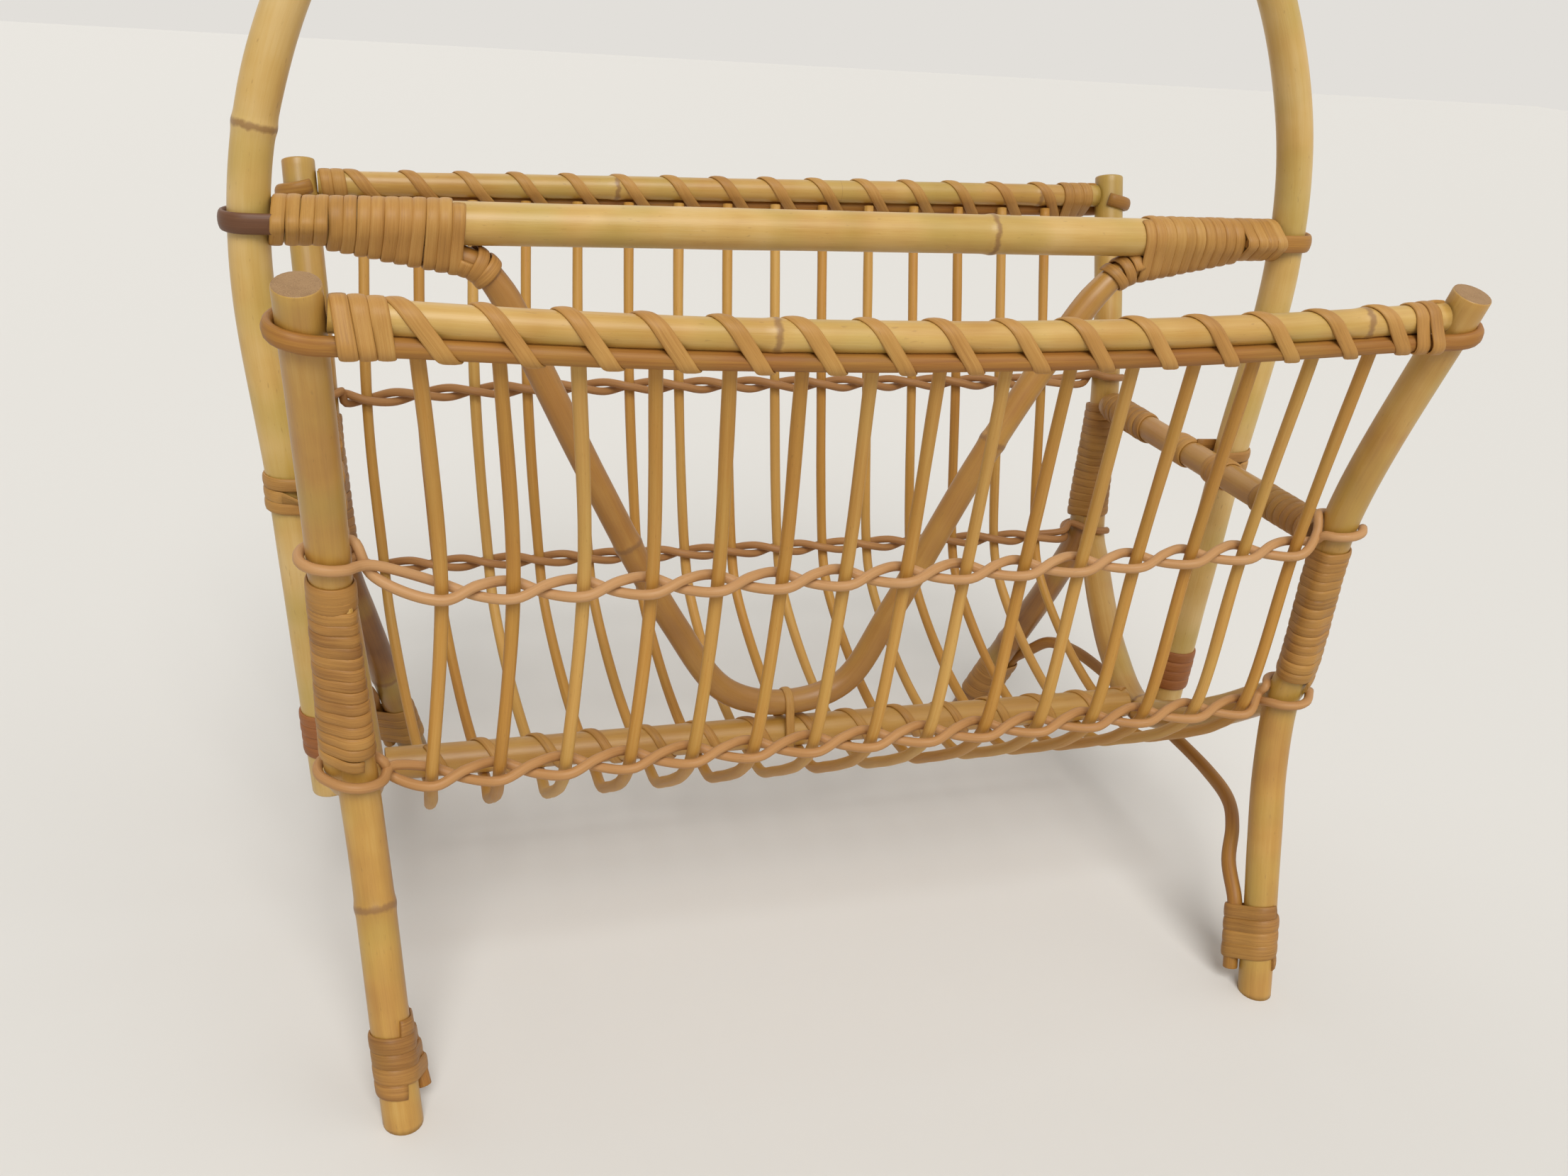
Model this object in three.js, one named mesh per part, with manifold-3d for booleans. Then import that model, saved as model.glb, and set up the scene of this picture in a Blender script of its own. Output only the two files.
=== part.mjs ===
import * as THREE from "three";
import { mergeVertices } from "three/addons/utils/BufferGeometryUtils.js";
import Module from "manifold-3d";

// Magazine rack of bent rattan cane on four legs, under one hoop handle.
// Millimetres. x runs along the rack, y from the front wall to the back wall, z up from the floor.

// Air left between pieces that touch.
const gap = 0.3;

// Heights at which the frame changes course.
const level = {
  rim: 334,
  bar: 337,
  spring: 325,
  waist: 234,
  crossbar: 222,
  hem: 140,
  baseBar: 80.5,
  keel: 78,
};

// Half widths of the frame along x.
const halfWidth = {
  postTop: 225,
  waist: 220,
  hem: 218,
  keel: 208,
  handle: 244,
  frontFoot: 203,
  backFoot: 178,
};

// Half depths of the frame along y.
const halfDepth = {
  postTop: 152,
  waist: 114,
  hem: 105,
  foot: 151,
};

// Radii of the canes.
const radius = {
  post: 8,
  leg: 8,
  handle: 8.5,
  bar: 9,
  divider: 6.5,
  baseBar: 8,
  crossbar: 7,
  rim: 6,
  rod: 3.5,
  legBrace: 3.5,
  barLoop: 2.5,
  stake: 2.7,
  strand: 2.2,
};

// How far the back right post bows out of line at the waist and hem.
const backRightBow = { waist: 2, hem: 6 };

// How far the posts' cut tops stand above the rims' axes.
const postStub = 10.5;

const archRise = 244;
const frontRimSag = 8;
// How much lower the left end of the back rim lies than its right end.
const backRimDroop = 5;

// Braids of each wall: how far they lie below and inside the frame's waist or hem, the sag of
// their middle, the droop of their left end, and how far their loops on the left and right posts
// drop outside and rise inside.
const frontWaist = {
  drop: 13,
  inward: 0,
  sag: 4,
  leftDroop: 0,
  leftLoopDrop: 1,
  rightLoopDrop: 8,
  loopRise: 8,
};
const frontHem = {
  drop: 4,
  inward: -3,
  sag: 0,
  leftDroop: 0,
  leftLoopDrop: 0,
  rightLoopDrop: 0,
  loopRise: 6,
};
const backWaist = {
  drop: 1,
  inward: 0,
  sag: 0,
  leftDroop: 11,
  leftLoopDrop: 5,
  rightLoopDrop: 0,
  loopRise: 4.5,
};
const backHem = {
  drop: 0,
  inward: 2,
  sag: 0,
  leftDroop: 0,
  leftLoopDrop: 0,
  rightLoopDrop: 0,
  loopRise: 6,
};

// How far the stakes lean to the right at the rim, waist and hem of each wall, and at the keel.
const stakeLean = {
  front: { rim: 0, waist: 9, hem: 4 },
  back: { rim: -6, waist: -9, hem: -4 },
  keel: 9,
};

// Upright stakes, evenly spread between the tightly bound ends of the rims.
const stakeCount = 15;

// How far inside the end frame's axis the outer stakes lie at the waist, hem and keel.
const stakeInset = { waist: 31, hem: 29, keel: 19 };
const rimEndLength = 27.4;

// How far a leg's pared top stands off the post that carries it, and where it ends.
const scarf = { inward: 4.5, outward: 5, top: 217 };

// The leg brace's end on the leg, and how far its crown stands outside the end frame. On a front
// leg it lies on the inner side, turned this far towards the back at its low and its high end.
const legBrace = {
  low: 8,
  high: 40,
  left: { outward: 7, lowTurn: 0.65, highTurn: 1.25 },
  right: { outward: 16, lowTurn: 0.6, highTurn: 0.6 },
};

// The divider meets the centre bar at this distance from the handle's axis, and its pared end
// runs on under the bar. Its arms lean to the left halfway up.
const dividerEnd = { inset: 88, reach: 58, rise: 8 };
const dividerLean = 6;

// Ends of the canes that bind the centre bar to the handle.
const barLoopReach = 30;

// Where a braid's halves cross between its last stake and the post, as a share of the way.
const endCrossShare = 0.77;

// Flat split cane: width, thickness and turns of each lashing, and where it starts and stops.
const lashing = {
  thickness: 1,
  post: { width: 4, turns: 14, aboveHem: 13, belowWaist: 16 },
  frontLeftPost: { turns: 15, belowWaist: 11 },
  bar: { width: 4.6, turns: 13, inner: 7, outer: 12 },
  foot: { width: 4.6, turns: 4, low: 15, high: 38 },
  crossbar: { width: 4.6, turns: 8, fromEnd: 3.5, length: 44 },
  joint: { width: 4, turns: 2, near: 14, far: 24, climb: 5 },
  handle: { width: 4.6, turns: 4, low: 90.5, high: 113 },
  base: { width: 4.6 },
  rim: {
    width: 7,
    tightWidth: 5.3,
    tightPitch: 5.9,
    front: { leftTurns: 3, rightTurns: 2 },
    back: { leftTurns: 2, rightTurns: 3 },
    endSpace: 3.4,
  },
};

// Share of a stake spacing by which a binding's turn starts past its stake.
const bindingLeadShare = 0.8;
// Share of a turn's pitch run on the side towards the front: between stakes, and past the last.
const bindingSlantShares = { open: 0.66, last: 0.85, tight: 0.5 };

// Course of an end frame below the hem: share of the hem's half depth, share of the drop left.
const keelShares = [
  [0.85, 0.8],
  [0.64, 0.52],
  [0.36, 0.22],
];
// Course of a stake below the hem, in the same way.
const stakeShares = {
  front: [
    [0.84, 0.7],
    [0.65, 0.47],
    [0.46, 0.27],
    [0.25, 0.07],
  ],
  back: [
    [0.92, 0.75],
    [0.75, 0.5],
    [0.47, 0.22],
    [0.2, 0.05],
  ],
};
// Course of a leg: share of the hem's height, share of the splay.
const legShares = [
  [0, 1],
  [0.25, 0.72],
  [0.5, 0.42],
  [0.75, 0.14],
  [1, 0],
];
// Heights at which a leg's pared top follows the post, as shares of its length.
const scarfShares = [0.33, 0.67, 1];
// Course of half the divider: share of its half width, share of its rise.
const dividerShares = [
  [0.2, 0.04],
  [0.365, 0.215],
  [0.61, 0.55],
  [0.79, 0.79],
  [0.92, 0.95],
];

// Where a leg brace is held to its leg, from its low to its high end.
const braceBoundShares = [0, 0.2, 0.4, 0.6, 0.8, 1];

// Course of a leg brace from the leg to its crown: shares of width, depth and rise.
const braceShares = [
  [0.1, 0.89, 0.5],
  [0.36, 0.8, 0.92],
  [0.68, 0.66, 1.04],
  [0.92, 0.42, 1.02],
];

// Where the rod of a rim lies against its pole, as an angle from straight down, and the length
// over which it swings out to pass the post.
const rodAngle = 0.35;
const rodSwingLength = 18;

const sides = { pole: 8, rod: 5, stake: 5, strand: 4 };
const loopSteps = 8;
const fewLoopSteps = 6;

const wasm = await Module();
wasm.setup();

const vec = (x, y, z) => new THREE.Vector3(x, y, z);
const mix = THREE.MathUtils.lerp;
const smooth = (points) => new THREE.CatmullRomCurve3(points, false, "centripetal");

const rack = new THREE.Group();

const finishes = {
  pole: { color: 0xc79f52, roughness: 0.42 },
  tan: { color: 0xc9974f, roughness: 0.5 },
  stake: { color: 0xb98336, roughness: 0.55 },
  strand: { color: 0xc08a56, roughness: 0.6 },
  split: { color: 0xbd8a48, roughness: 0.5 },
  red: { color: 0x9a5a2c, roughness: 0.55 },
  brown: { color: 0x5a3d26, roughness: 0.6 },
};

function add(name, geometry, finish) {
  const material = new THREE.MeshStandardMaterial({ ...finishes[finish], metalness: 0 });
  const mesh = new THREE.Mesh(geometry, material);
  mesh.name = name;
  rack.add(mesh);
}

// A course through given points, one step of a tube to each.
class Route extends THREE.Curve {
  constructor(points) {
    super();
    this.points = points;
  }

  getPoint(share) {
    const last = this.points.length - 1;
    const index = Math.min(Math.round(share * last), last);
    return this.points[index].clone();
  }

  getPointAt(share) {
    return this.getPoint(share);
  }

  getTangent(share) {
    const last = this.points.length - 1;
    const index = Math.min(Math.round(share * last), last);
    const before = this.points[Math.max(index - 1, 0)];
    const after = this.points[Math.min(index + 1, last)];
    return after.clone().sub(before).normalize();
  }

  getTangentAt(share) {
    return this.getTangent(share);
  }
}

// A round cane along points.
function cane(points, caneRadius, sideCount) {
  const outline = new THREE.Shape();
  for (let i = 0; i < sideCount; i += 1) {
    const turn = ((i + 0.5) / sideCount) * 2 * Math.PI;
    const x = caneRadius * Math.cos(turn);
    const y = caneRadius * Math.sin(turn);
    if (i === 0) {
      outline.moveTo(x, y);
    } else {
      outline.lineTo(x, y);
    }
  }
  return new THREE.ExtrudeGeometry(outline, {
    steps: points.length - 1,
    extrudePath: new Route(points),
  });
}

function toSolid(geometry) {
  const bare = geometry.clone();
  bare.deleteAttribute("normal");
  bare.deleteAttribute("uv");
  const merged = mergeVertices(bare);
  return new wasm.Manifold(
    new wasm.Mesh({
      numProp: 3,
      vertProperties: merged.attributes.position.array,
      triVerts: new Uint32Array(merged.index.array),
    }),
  );
}

function toGeometry(solid) {
  const mesh = solid.getMesh();
  const geometry = new THREE.BufferGeometry();
  geometry.setAttribute("position", new THREE.BufferAttribute(mesh.vertProperties, mesh.numProp));
  geometry.setIndex(new THREE.BufferAttribute(mesh.triVerts, 1));
  geometry.computeVertexNormals();
  return geometry;
}

// Flat cane with a crowned back along points. At each, out is the way its back faces, and
// across runs from its middle to its edge.
function flatCane(name, path, finish) {
  const rings = path.map(({ point, out, across }) => {
    const crown = point.clone().addScaledVector(out, lashing.thickness);
    return [point.clone().sub(across), point.clone().add(across), crown];
  });
  const corners = rings.flat();
  const faces = [0, 1, 2];
  for (let i = 0; i + 1 < rings.length; i += 1) {
    for (let side = 0; side < 3; side += 1) {
      const a = 3 * i + side;
      const b = 3 * i + ((side + 1) % 3);
      if (corners[a].distanceTo(corners[b + 3]) < corners[b].distanceTo(corners[a + 3])) {
        faces.push(a, a + 3, b + 3, a, b + 3, b);
      } else {
        faces.push(a, a + 3, b, b, a + 3, b + 3);
      }
    }
  }
  const last = 3 * (rings.length - 1);
  faces.push(last, last + 2, last + 1);
  const geometry = new THREE.BufferGeometry().setFromPoints(corners);
  geometry.setIndex(faces);
  geometry.computeVertexNormals();
  add(name, geometry, finish);
  reportGap(name, rings);
}

// Prints the least distance between the rings of a lashing that lie half a turn or more apart.
function reportGap(name, rings) {
  let least = Infinity;
  const apart = fewLoopSteps - 1;
  rings.forEach((ring, i) => {
    rings.slice(i + apart).forEach((other) => {
      for (const p of ring) {
        for (const q of other) {
          least = Math.min(least, p.distanceTo(q));
        }
      }
    });
  });
  console.log(`${name}: least gap to itself ${least.toFixed(2)} mm`);
}

// Corner of the taut outline that has stepCount sides round a bundle of canes, seen along it.
// Each round of the bundle is [u, v, radius]; lift is what the outline keeps off the canes.
function bandPoint(rounds, angle, stepCount, lift) {
  const half = Math.PI / stepCount;
  const [first, second] = [angle - half, angle + half].map((turn) => {
    const u = Math.cos(turn);
    const v = Math.sin(turn);
    return [u, v, Math.max(...rounds.map(([a, b, r]) => a * u + b * v + r)) + lift];
  });
  const spread = Math.sin(2 * half);
  return [
    (first[2] * second[1] - second[2] * first[1]) / spread,
    (second[2] * first[0] - first[2] * second[0]) / spread,
  ];
}

// One unbroken winding. place(share) gives the bundle there: centre, way along, axis u, rounds,
// and where it varies the width. advance(turn) gives the share of the length reached by a turn.
function windingPath({ turns, stepCount, width, place, startAngle, direction, advance }) {
  const steps = Math.round(turns * stepCount);
  const path = [];
  for (let i = 0; i <= steps; i += 1) {
    const turn = i / stepCount;
    const share = advance ? advance(turn) : turn / turns;
    const { centre, along, uWay, rounds, wide } = place(share);
    const uAxis = uWay.clone().addScaledVector(along, -uWay.dot(along)).normalize();
    const vAxis = along.clone().cross(uAxis);
    const angle = startAngle + direction * turn * 2 * Math.PI;
    const [u, v] = bandPoint(rounds, angle, stepCount, gap);
    const point = centre.clone().addScaledVector(uAxis, u).addScaledVector(vAxis, v);
    const out = uAxis.clone().multiplyScalar(Math.cos(angle));
    out.addScaledVector(vAxis, Math.sin(angle));
    const across = along.clone().multiplyScalar((direction * (wide ?? width)) / -2);
    path.push({ point, out, across });
  }
  return path;
}

const xAxis = vec(1, 0, 0);
const yAxis = vec(0, 1, 0);
const downY = vec(0, -1, 0);

const ends = [
  { side: -1, word: "left" },
  { side: 1, word: "right" },
];
const walls = [
  { wall: -1, word: "front", waist: frontWaist, hem: frontHem },
  { wall: 1, word: "back", waist: backWaist, hem: backHem },
];
const corners = walls.flatMap(({ wall, word }) =>
  ends.map((end) => ({ wall, side: end.side, word: `${word}_${end.word}` })),
);

const postTop = level.rim + postStub;

// Half of an end frame, from the cut top of its post down to its last bend above the keel.
function frameHalf(side, wall) {
  const at = (width, depth, height) => vec(side * width, wall * depth, height);
  const bow = side > 0 && wall > 0 ? backRightBow : { waist: 0, hem: 0 };
  const hemWidth = halfWidth.hem + bow.hem;
  const top = side < 0 && wall > 0 ? postTop - backRimDroop : postTop;
  return [
    at(halfWidth.postTop, halfDepth.postTop, top),
    at(halfWidth.waist + bow.waist, halfDepth.waist, level.waist),
    at(hemWidth, halfDepth.hem, level.hem),
    ...keelShares.map(([depthShare, dropShare]) =>
      at(
        mix(halfWidth.keel, hemWidth, dropShare),
        depthShare * halfDepth.hem,
        mix(level.keel, level.hem, dropShare),
      ),
    ),
  ];
}

function frameRoute(side) {
  const keel = vec(side * halfWidth.keel, 0, level.keel);
  return smooth([...frameHalf(side, -1), keel, ...frameHalf(side, 1).reverse()]);
}

const frameSteps = 24;
const framePoints = {
  "-1": frameRoute(-1).getPoints(frameSteps),
  1: frameRoute(1).getPoints(frameSteps),
};

// The place at a height on points that run down, or up.
function atHeight(points, height) {
  const next = points.findIndex((p, i) => i > 0 && (points[i - 1].z - height) * (p.z - height) <= 0);
  const [before, after] = [points[next - 1], points[next]];
  return before.clone().lerp(after, (height - before.z) / (after.z - before.z));
}

// The axis of a post at a height.
function postAt(side, wall, height) {
  const points = wall < 0 ? framePoints[side] : framePoints[side].toReversed();
  return atHeight(points, height);
}

// The way a post runs upwards at a height.
function postWay(side, wall, height) {
  const step = radius.post;
  const above = postAt(side, wall, height + step);
  return above.sub(postAt(side, wall, height - step)).normalize();
}

function addEndFrames() {
  for (const { side, word } of ends) {
    add(`end_frame_${word}`, cane(framePoints[side], radius.post, sides.pole), "pole");
  }
}

// The axis of a leg: splayed below the hem, bound along the post above it.
function legPointsOf({ side, wall }) {
  const legSteps = 14;
  const footHalfWidth = wall < 0 ? halfWidth.frontFoot : halfWidth.backFoot;
  const offset = vec(-side * scarf.inward, wall * scarf.outward, 0);
  const hip = postAt(side, wall, level.hem).add(offset);
  const lower = legShares.map(([heightShare, splayShare]) =>
    vec(
      mix(side * footHalfWidth, hip.x, heightShare),
      mix(hip.y, wall * halfDepth.foot, splayShare),
      heightShare * level.hem,
    ),
  );
  const upper = scarfShares.map((share) =>
    postAt(side, wall, mix(level.hem, scarf.top, share)).add(offset),
  );
  return smooth([...lower, ...upper]).getPoints(legSteps);
}

const legPoints = Object.fromEntries(corners.map((corner) => [corner.word, legPointsOf(corner)]));
const legAt = (corner, height) => atHeight(legPoints[corner.word], height);

function legWay(corner, height) {
  const above = legAt(corner, height + radius.leg);
  return above.sub(legAt(corner, height)).normalize();
}

// Each leg's foot is cut flat on the floor and its top is pared to lie against the post.
function addLegs() {
  for (const corner of corners) {
    const points = legPoints[corner.word];
    const past = points[0].clone().add(points[0].clone().sub(points[1]).setLength(radius.leg));
    const raw = toSolid(cane([past, ...points], radius.leg, sides.pole));
    const socket = toSolid(cane(framePoints[corner.side], radius.post + gap, sides.pole));
    const block = new THREE.BoxGeometry(8 * radius.leg, 8 * radius.leg, 2 * radius.leg);
    block.translate(points[0].x, points[0].y, -radius.leg);
    const leg = raw.subtract(socket).subtract(toSolid(block));
    add(`leg_${corner.word}`, toGeometry(leg), "pole");
  }
}

// Half widths of the handle where it stands against the keel and the crossbar.
const handleFootHalfWidth = halfWidth.keel + radius.post + gap + radius.handle;
const crossbarHalfWidth = postAt(1, -1, level.crossbar).x;
const handleJointHalfWidth = crossbarHalfWidth + radius.crossbar + gap + radius.handle;
const handleFoot = level.keel - radius.post;

function handleRoute() {
  const archSteps = 12;
  const arch = [];
  for (let i = 0; i <= archSteps; i += 1) {
    const turn = (i / archSteps) * Math.PI;
    const x = -halfWidth.handle * Math.cos(turn);
    arch.push(vec(x, 0, level.spring + archRise * Math.sin(turn)));
  }
  const left = [vec(-handleFootHalfWidth, 0, handleFoot), vec(-handleJointHalfWidth, 0, level.crossbar)];
  const right = left.map((p) => vec(-p.x, 0, p.z)).reverse();
  const handleSteps = 44;
  return smooth([...left, ...arch, ...right]).getSpacedPoints(handleSteps);
}

// The handle's axis at a height, on the right.
function handleHalfWidthAt(height) {
  const share = Math.max(height - level.spring, 0) / archRise;
  return halfWidth.handle * Math.sqrt(1 - share * share);
}

const handlePoints = handleRoute();
const handleCane = (caneRadius) => cane(handlePoints, caneRadius, sides.pole);

// The axis of the handle's left or right leg at a height.
function handleAt(side, height) {
  const point = atHeight(handlePoints, height);
  return vec(side * Math.abs(point.x), 0, height);
}

function addHandle() {
  add("handle_hoop", handleCane(radius.handle), "pole");
}

// The centre bar's ends are hollowed to sit against the handle.
const barHalfLength = handleHalfWidthAt(level.bar) - radius.handle / 2;
const barRun = [vec(-barHalfLength, 0, level.bar), vec(barHalfLength, 0, level.bar)];

function addCentreBar() {
  const bar = toSolid(cane(barRun, radius.bar, sides.pole));
  const handle = toSolid(handleCane(radius.handle + gap));
  add("centre_bar", toGeometry(bar.subtract(handle)), "pole");
}

const lashingStand = (around, stepCount) =>
  (around + 2 * gap) / Math.cos(Math.PI / stepCount) + lashing.thickness;
const dividerFoot = level.baseBar + lashingStand(radius.baseBar, loopSteps) + gap + radius.divider;
const dividerTop = level.bar - radius.bar - gap - radius.divider;
const dividerHalfWidth = halfWidth.handle - dividerEnd.inset;

// The divider stands on the base bar, and its pared ends lie under the centre bar.
function addDivider() {
  const dividerSteps = 32;
  const half = (side) => [
    ...dividerShares.map(([widthShare, riseShare]) => {
      const lean = 4 * riseShare * (1 - riseShare) * dividerLean;
      const height = mix(dividerFoot, dividerTop, riseShare);
      return vec(side * widthShare * dividerHalfWidth - lean, 0, height);
    }),
    vec(side * dividerHalfWidth, 0, dividerTop),
    vec(side * (dividerHalfWidth + dividerEnd.reach), 0, dividerTop + dividerEnd.rise),
  ];
  const foot = vec(0, 0, dividerFoot);
  const points = smooth([...half(-1).reverse(), foot, ...half(1)]).getPoints(dividerSteps);
  const seat = toSolid(cane(barRun, radius.bar + gap, sides.pole));
  const divider = toSolid(cane(points, radius.divider, sides.pole)).subtract(seat);
  add("divider_brace", toGeometry(divider), "tan");
}

const baseBarHalfLength = halfWidth.keel - radius.post - gap;

function addBaseBar() {
  const points = [vec(-baseBarHalfLength, 0, level.baseBar), vec(baseBarHalfLength, 0, level.baseBar)];
  add("base_bar", cane(points, radius.baseBar, sides.pole), "tan");
}

// Rims: a pole between the posts, a rod along its lower outer side, and a spiral of split cane.
const rimPost = postAt(1, -1, level.rim);
const rimHalfLength = rimPost.x - radius.post - gap;
const stakeHalfSpan = rimHalfLength - rimEndLength;
const stakeX = (index) => mix(-stakeHalfSpan, stakeHalfSpan, index / (stakeCount - 1));
const stakePitch = (2 * stakeHalfSpan) / (stakeCount - 1);

const arc = (x, span) => 1 - (x / span) ** 2;
const rimSag = (wall) => (wall < 0 ? frontRimSag : 0);
const rimDroop = (wall, x) =>
  wall > 0 ? (backRimDroop * (rimHalfLength - x)) / (2 * rimHalfLength) : 0;
function rimAt(wall, x) {
  const height = level.rim - rimSag(wall) * arc(x, rimHalfLength) - rimDroop(wall, x);
  return vec(x, wall * Math.abs(rimPost.y), height);
}

const rodOffset = radius.rim + radius.rod + gap;
const rodDrop = rodOffset * Math.cos(rodAngle);
const rodOut = rodOffset * Math.sin(rodAngle);
const rodEndOut = Math.sqrt((radius.post + radius.rod + 2 * gap) ** 2 - (radius.post + gap) ** 2);

// How far the rod lies outside the rim's middle plane: it swings out to pass the posts.
function rodOutAt(x) {
  const share = (Math.abs(x) - rimHalfLength + rodSwingLength) / rodSwingLength;
  return mix(rodOut, rodEndOut, Math.max(share, 0));
}

function addRims() {
  const rimSteps = 8;
  for (const { wall, word } of walls) {
    const points = [];
    for (let i = 0; i <= rimSteps; i += 1) {
      points.push(rimAt(wall, mix(-rimHalfLength, rimHalfLength, i / rimSteps)));
    }
    add(`rim_${word}`, cane(points, radius.rim, sides.pole), "tan");
  }
}

// The rod's ends loop once round the posts, just under their cut tops.
function addRimRods() {
  const rodSteps = 8;
  const loopShares = [0.625, 0.375, 0.125, -0.125, -0.375, -0.625];
  const around = [[0, 0, radius.post]];
  for (const { wall, word } of walls) {
    const rodAt = (x) => rimAt(wall, x).add(vec(0, wall * rodOutAt(x), -rodDrop));
    const middle = [rodAt(-rimHalfLength)];
    for (let i = 0; i <= rodSteps; i += 1) {
      middle.push(rodAt(mix(-1, 1, i / rodSteps) * (rimHalfLength - rodSwingLength)));
    }
    middle.push(rodAt(rimHalfLength));
    const loop = (side) =>
      loopShares.map((share, i) => {
        const drop = rodDrop * (1 - i / (loopShares.length - 1));
        const post = postAt(side, wall, rimAt(wall, side * rimHalfLength).z - drop);
        const [u, v] = bandPoint(around, share * Math.PI, loopSteps, radius.rod + gap);
        return post.add(vec(side * u, wall * v, 0));
      });
    const points = [...loop(-1).reverse(), ...middle, ...loop(1)];
    add(`rim_rod_${word}`, cane(points, radius.rod, sides.rod), "tan");
  }
}

// Places along x where the rim's spiral crosses the top of the pole, and its slant from each.
function bindingCrossings(word) {
  const { tightPitch, endSpace } = lashing.rim;
  const { leftTurns, rightTurns } = lashing.rim[word];
  const lean = stakeLean[word].rim;
  const crossings = [];
  for (let i = 0; i <= leftTurns; i += 1) {
    const slant = i < leftTurns ? bindingSlantShares.tight : bindingSlantShares.open;
    crossings.push({ x: endSpace - rimHalfLength + i * tightPitch, slant });
  }
  for (let i = 0; i + 1 < stakeCount; i += 1) {
    const slant = i + 2 < stakeCount ? bindingSlantShares.open : bindingSlantShares.last;
    crossings.push({ x: stakeX(i) + lean + bindingLeadShare * stakePitch, slant });
  }
  for (let i = rightTurns; i >= 0; i -= 1) {
    const slant = bindingSlantShares.tight;
    crossings.push({ x: rimHalfLength - endSpace - i * tightPitch, slant });
  }
  return crossings;
}

function addRimBinding({ wall, word }) {
  const { width, tightWidth } = lashing.rim;
  const { leftTurns, rightTurns } = lashing.rim[word];
  const crossings = bindingCrossings(word);
  const openFrom = crossings[leftTurns].x;
  const openTo = crossings[crossings.length - 1 - rightTurns].x;
  const turns = crossings.length - 1;
  const first = crossings[0].x;
  const span = crossings[turns].x - first;
  const advance = (turn) => {
    const whole = Math.min(Math.floor(turn), turns - 1);
    const part = turn - whole;
    const { x, slant } = crossings[whole];
    const run = part < 0.5 ? 2 * part * slant : mix(slant, 1, 2 * part - 1);
    return (mix(x, crossings[whole + 1].x, run) - first) / span;
  };
  const place = (share) => {
    const x = first + share * span;
    const rounds = [
      [0, 0, radius.rim],
      [wall * rodOutAt(x), -rodDrop, radius.rod + 3 * gap],
    ];
    const wide = x > openFrom + 2 * width && x < openTo - 3 * width ? width : tightWidth;
    return { centre: rimAt(wall, x), along: xAxis, uWay: yAxis, rounds, wide };
  };
  const path = windingPath({
    turns,
    stepCount: loopSteps,
    width,
    place,
    startAngle: Math.PI / 2 - Math.PI / loopSteps,
    direction: 1,
    advance,
  });
  flatCane(`rim_binding_${word}`, path, "split");
}

// Stakes run from the front rim down the wall, under the base bar and up to the back rim.
const stakeFoot = level.baseBar - radius.baseBar - gap - radius.stake;
const stakeTopDrop = radius.rim + gap + radius.stake / 3;
const stakeTopIn = radius.rod + radius.stake + gap - rodOut;

function stakeTop({ wall, word }, index) {
  const top = rimAt(wall, stakeX(index) + stakeLean[word].rim);
  return top.add(vec(0, -wall * stakeTopIn, -stakeTopDrop));
}

// Place of a stake along x at the waist, hem or keel.
function stakeAcross(index, part) {
  const span = halfWidth[part] - stakeInset[part];
  return mix(-span, span, index / (stakeCount - 1));
}

// A drooping braid falls off the more steeply the nearer it comes to the left post.
const droopPower = 9;

// Where a stake crosses a braid, at the waist or hem.
function stakePoint(wallData, index, part) {
  const { wall, word } = wallData;
  const { drop, inward, sag, leftDroop } = wallData[part];
  const x = stakeAcross(index, part);
  const leftShare = (halfWidth[part] - x) / (2 * halfWidth[part]);
  const height =
    level[part] - drop - sag * arc(x, halfWidth[part]) - leftDroop * leftShare ** droopPower;
  return vec(x + stakeLean[word][part], wall * (halfDepth[part] - inward), height);
}

function stakeHalf(wallData, index) {
  const hem = stakePoint(wallData, index, "hem");
  const baseX = stakeAcross(index, "keel") + stakeLean.keel;
  return [
    stakeTop(wallData, index),
    stakePoint(wallData, index, "waist"),
    hem,
    ...stakeShares[wallData.word].map(([depthShare, dropShare]) =>
      vec(mix(baseX, hem.x, depthShare), depthShare * hem.y, mix(stakeFoot, hem.z, dropShare)),
    ),
  ];
}

function addStakes() {
  const tones = ["stake", "pole", "stake", "tan"];
  for (let i = 0; i < stakeCount; i += 1) {
    const points = [
      ...stakeHalf(walls[0], i),
      vec(stakeAcross(i, "keel") + stakeLean.keel, 0, stakeFoot),
      ...stakeHalf(walls[1], i).reverse(),
    ];
    const number = String(i + 1).padStart(2, "0");
    add(`stake_${number}`, cane(points, radius.stake, sides.stake), tones[i % tones.length]);
  }
}

// Braids: one long strand folded round the left post, its halves twined about the stakes.
const wallLean = Math.atan2(halfDepth.postTop - halfDepth.hem, postTop - level.hem);

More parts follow.
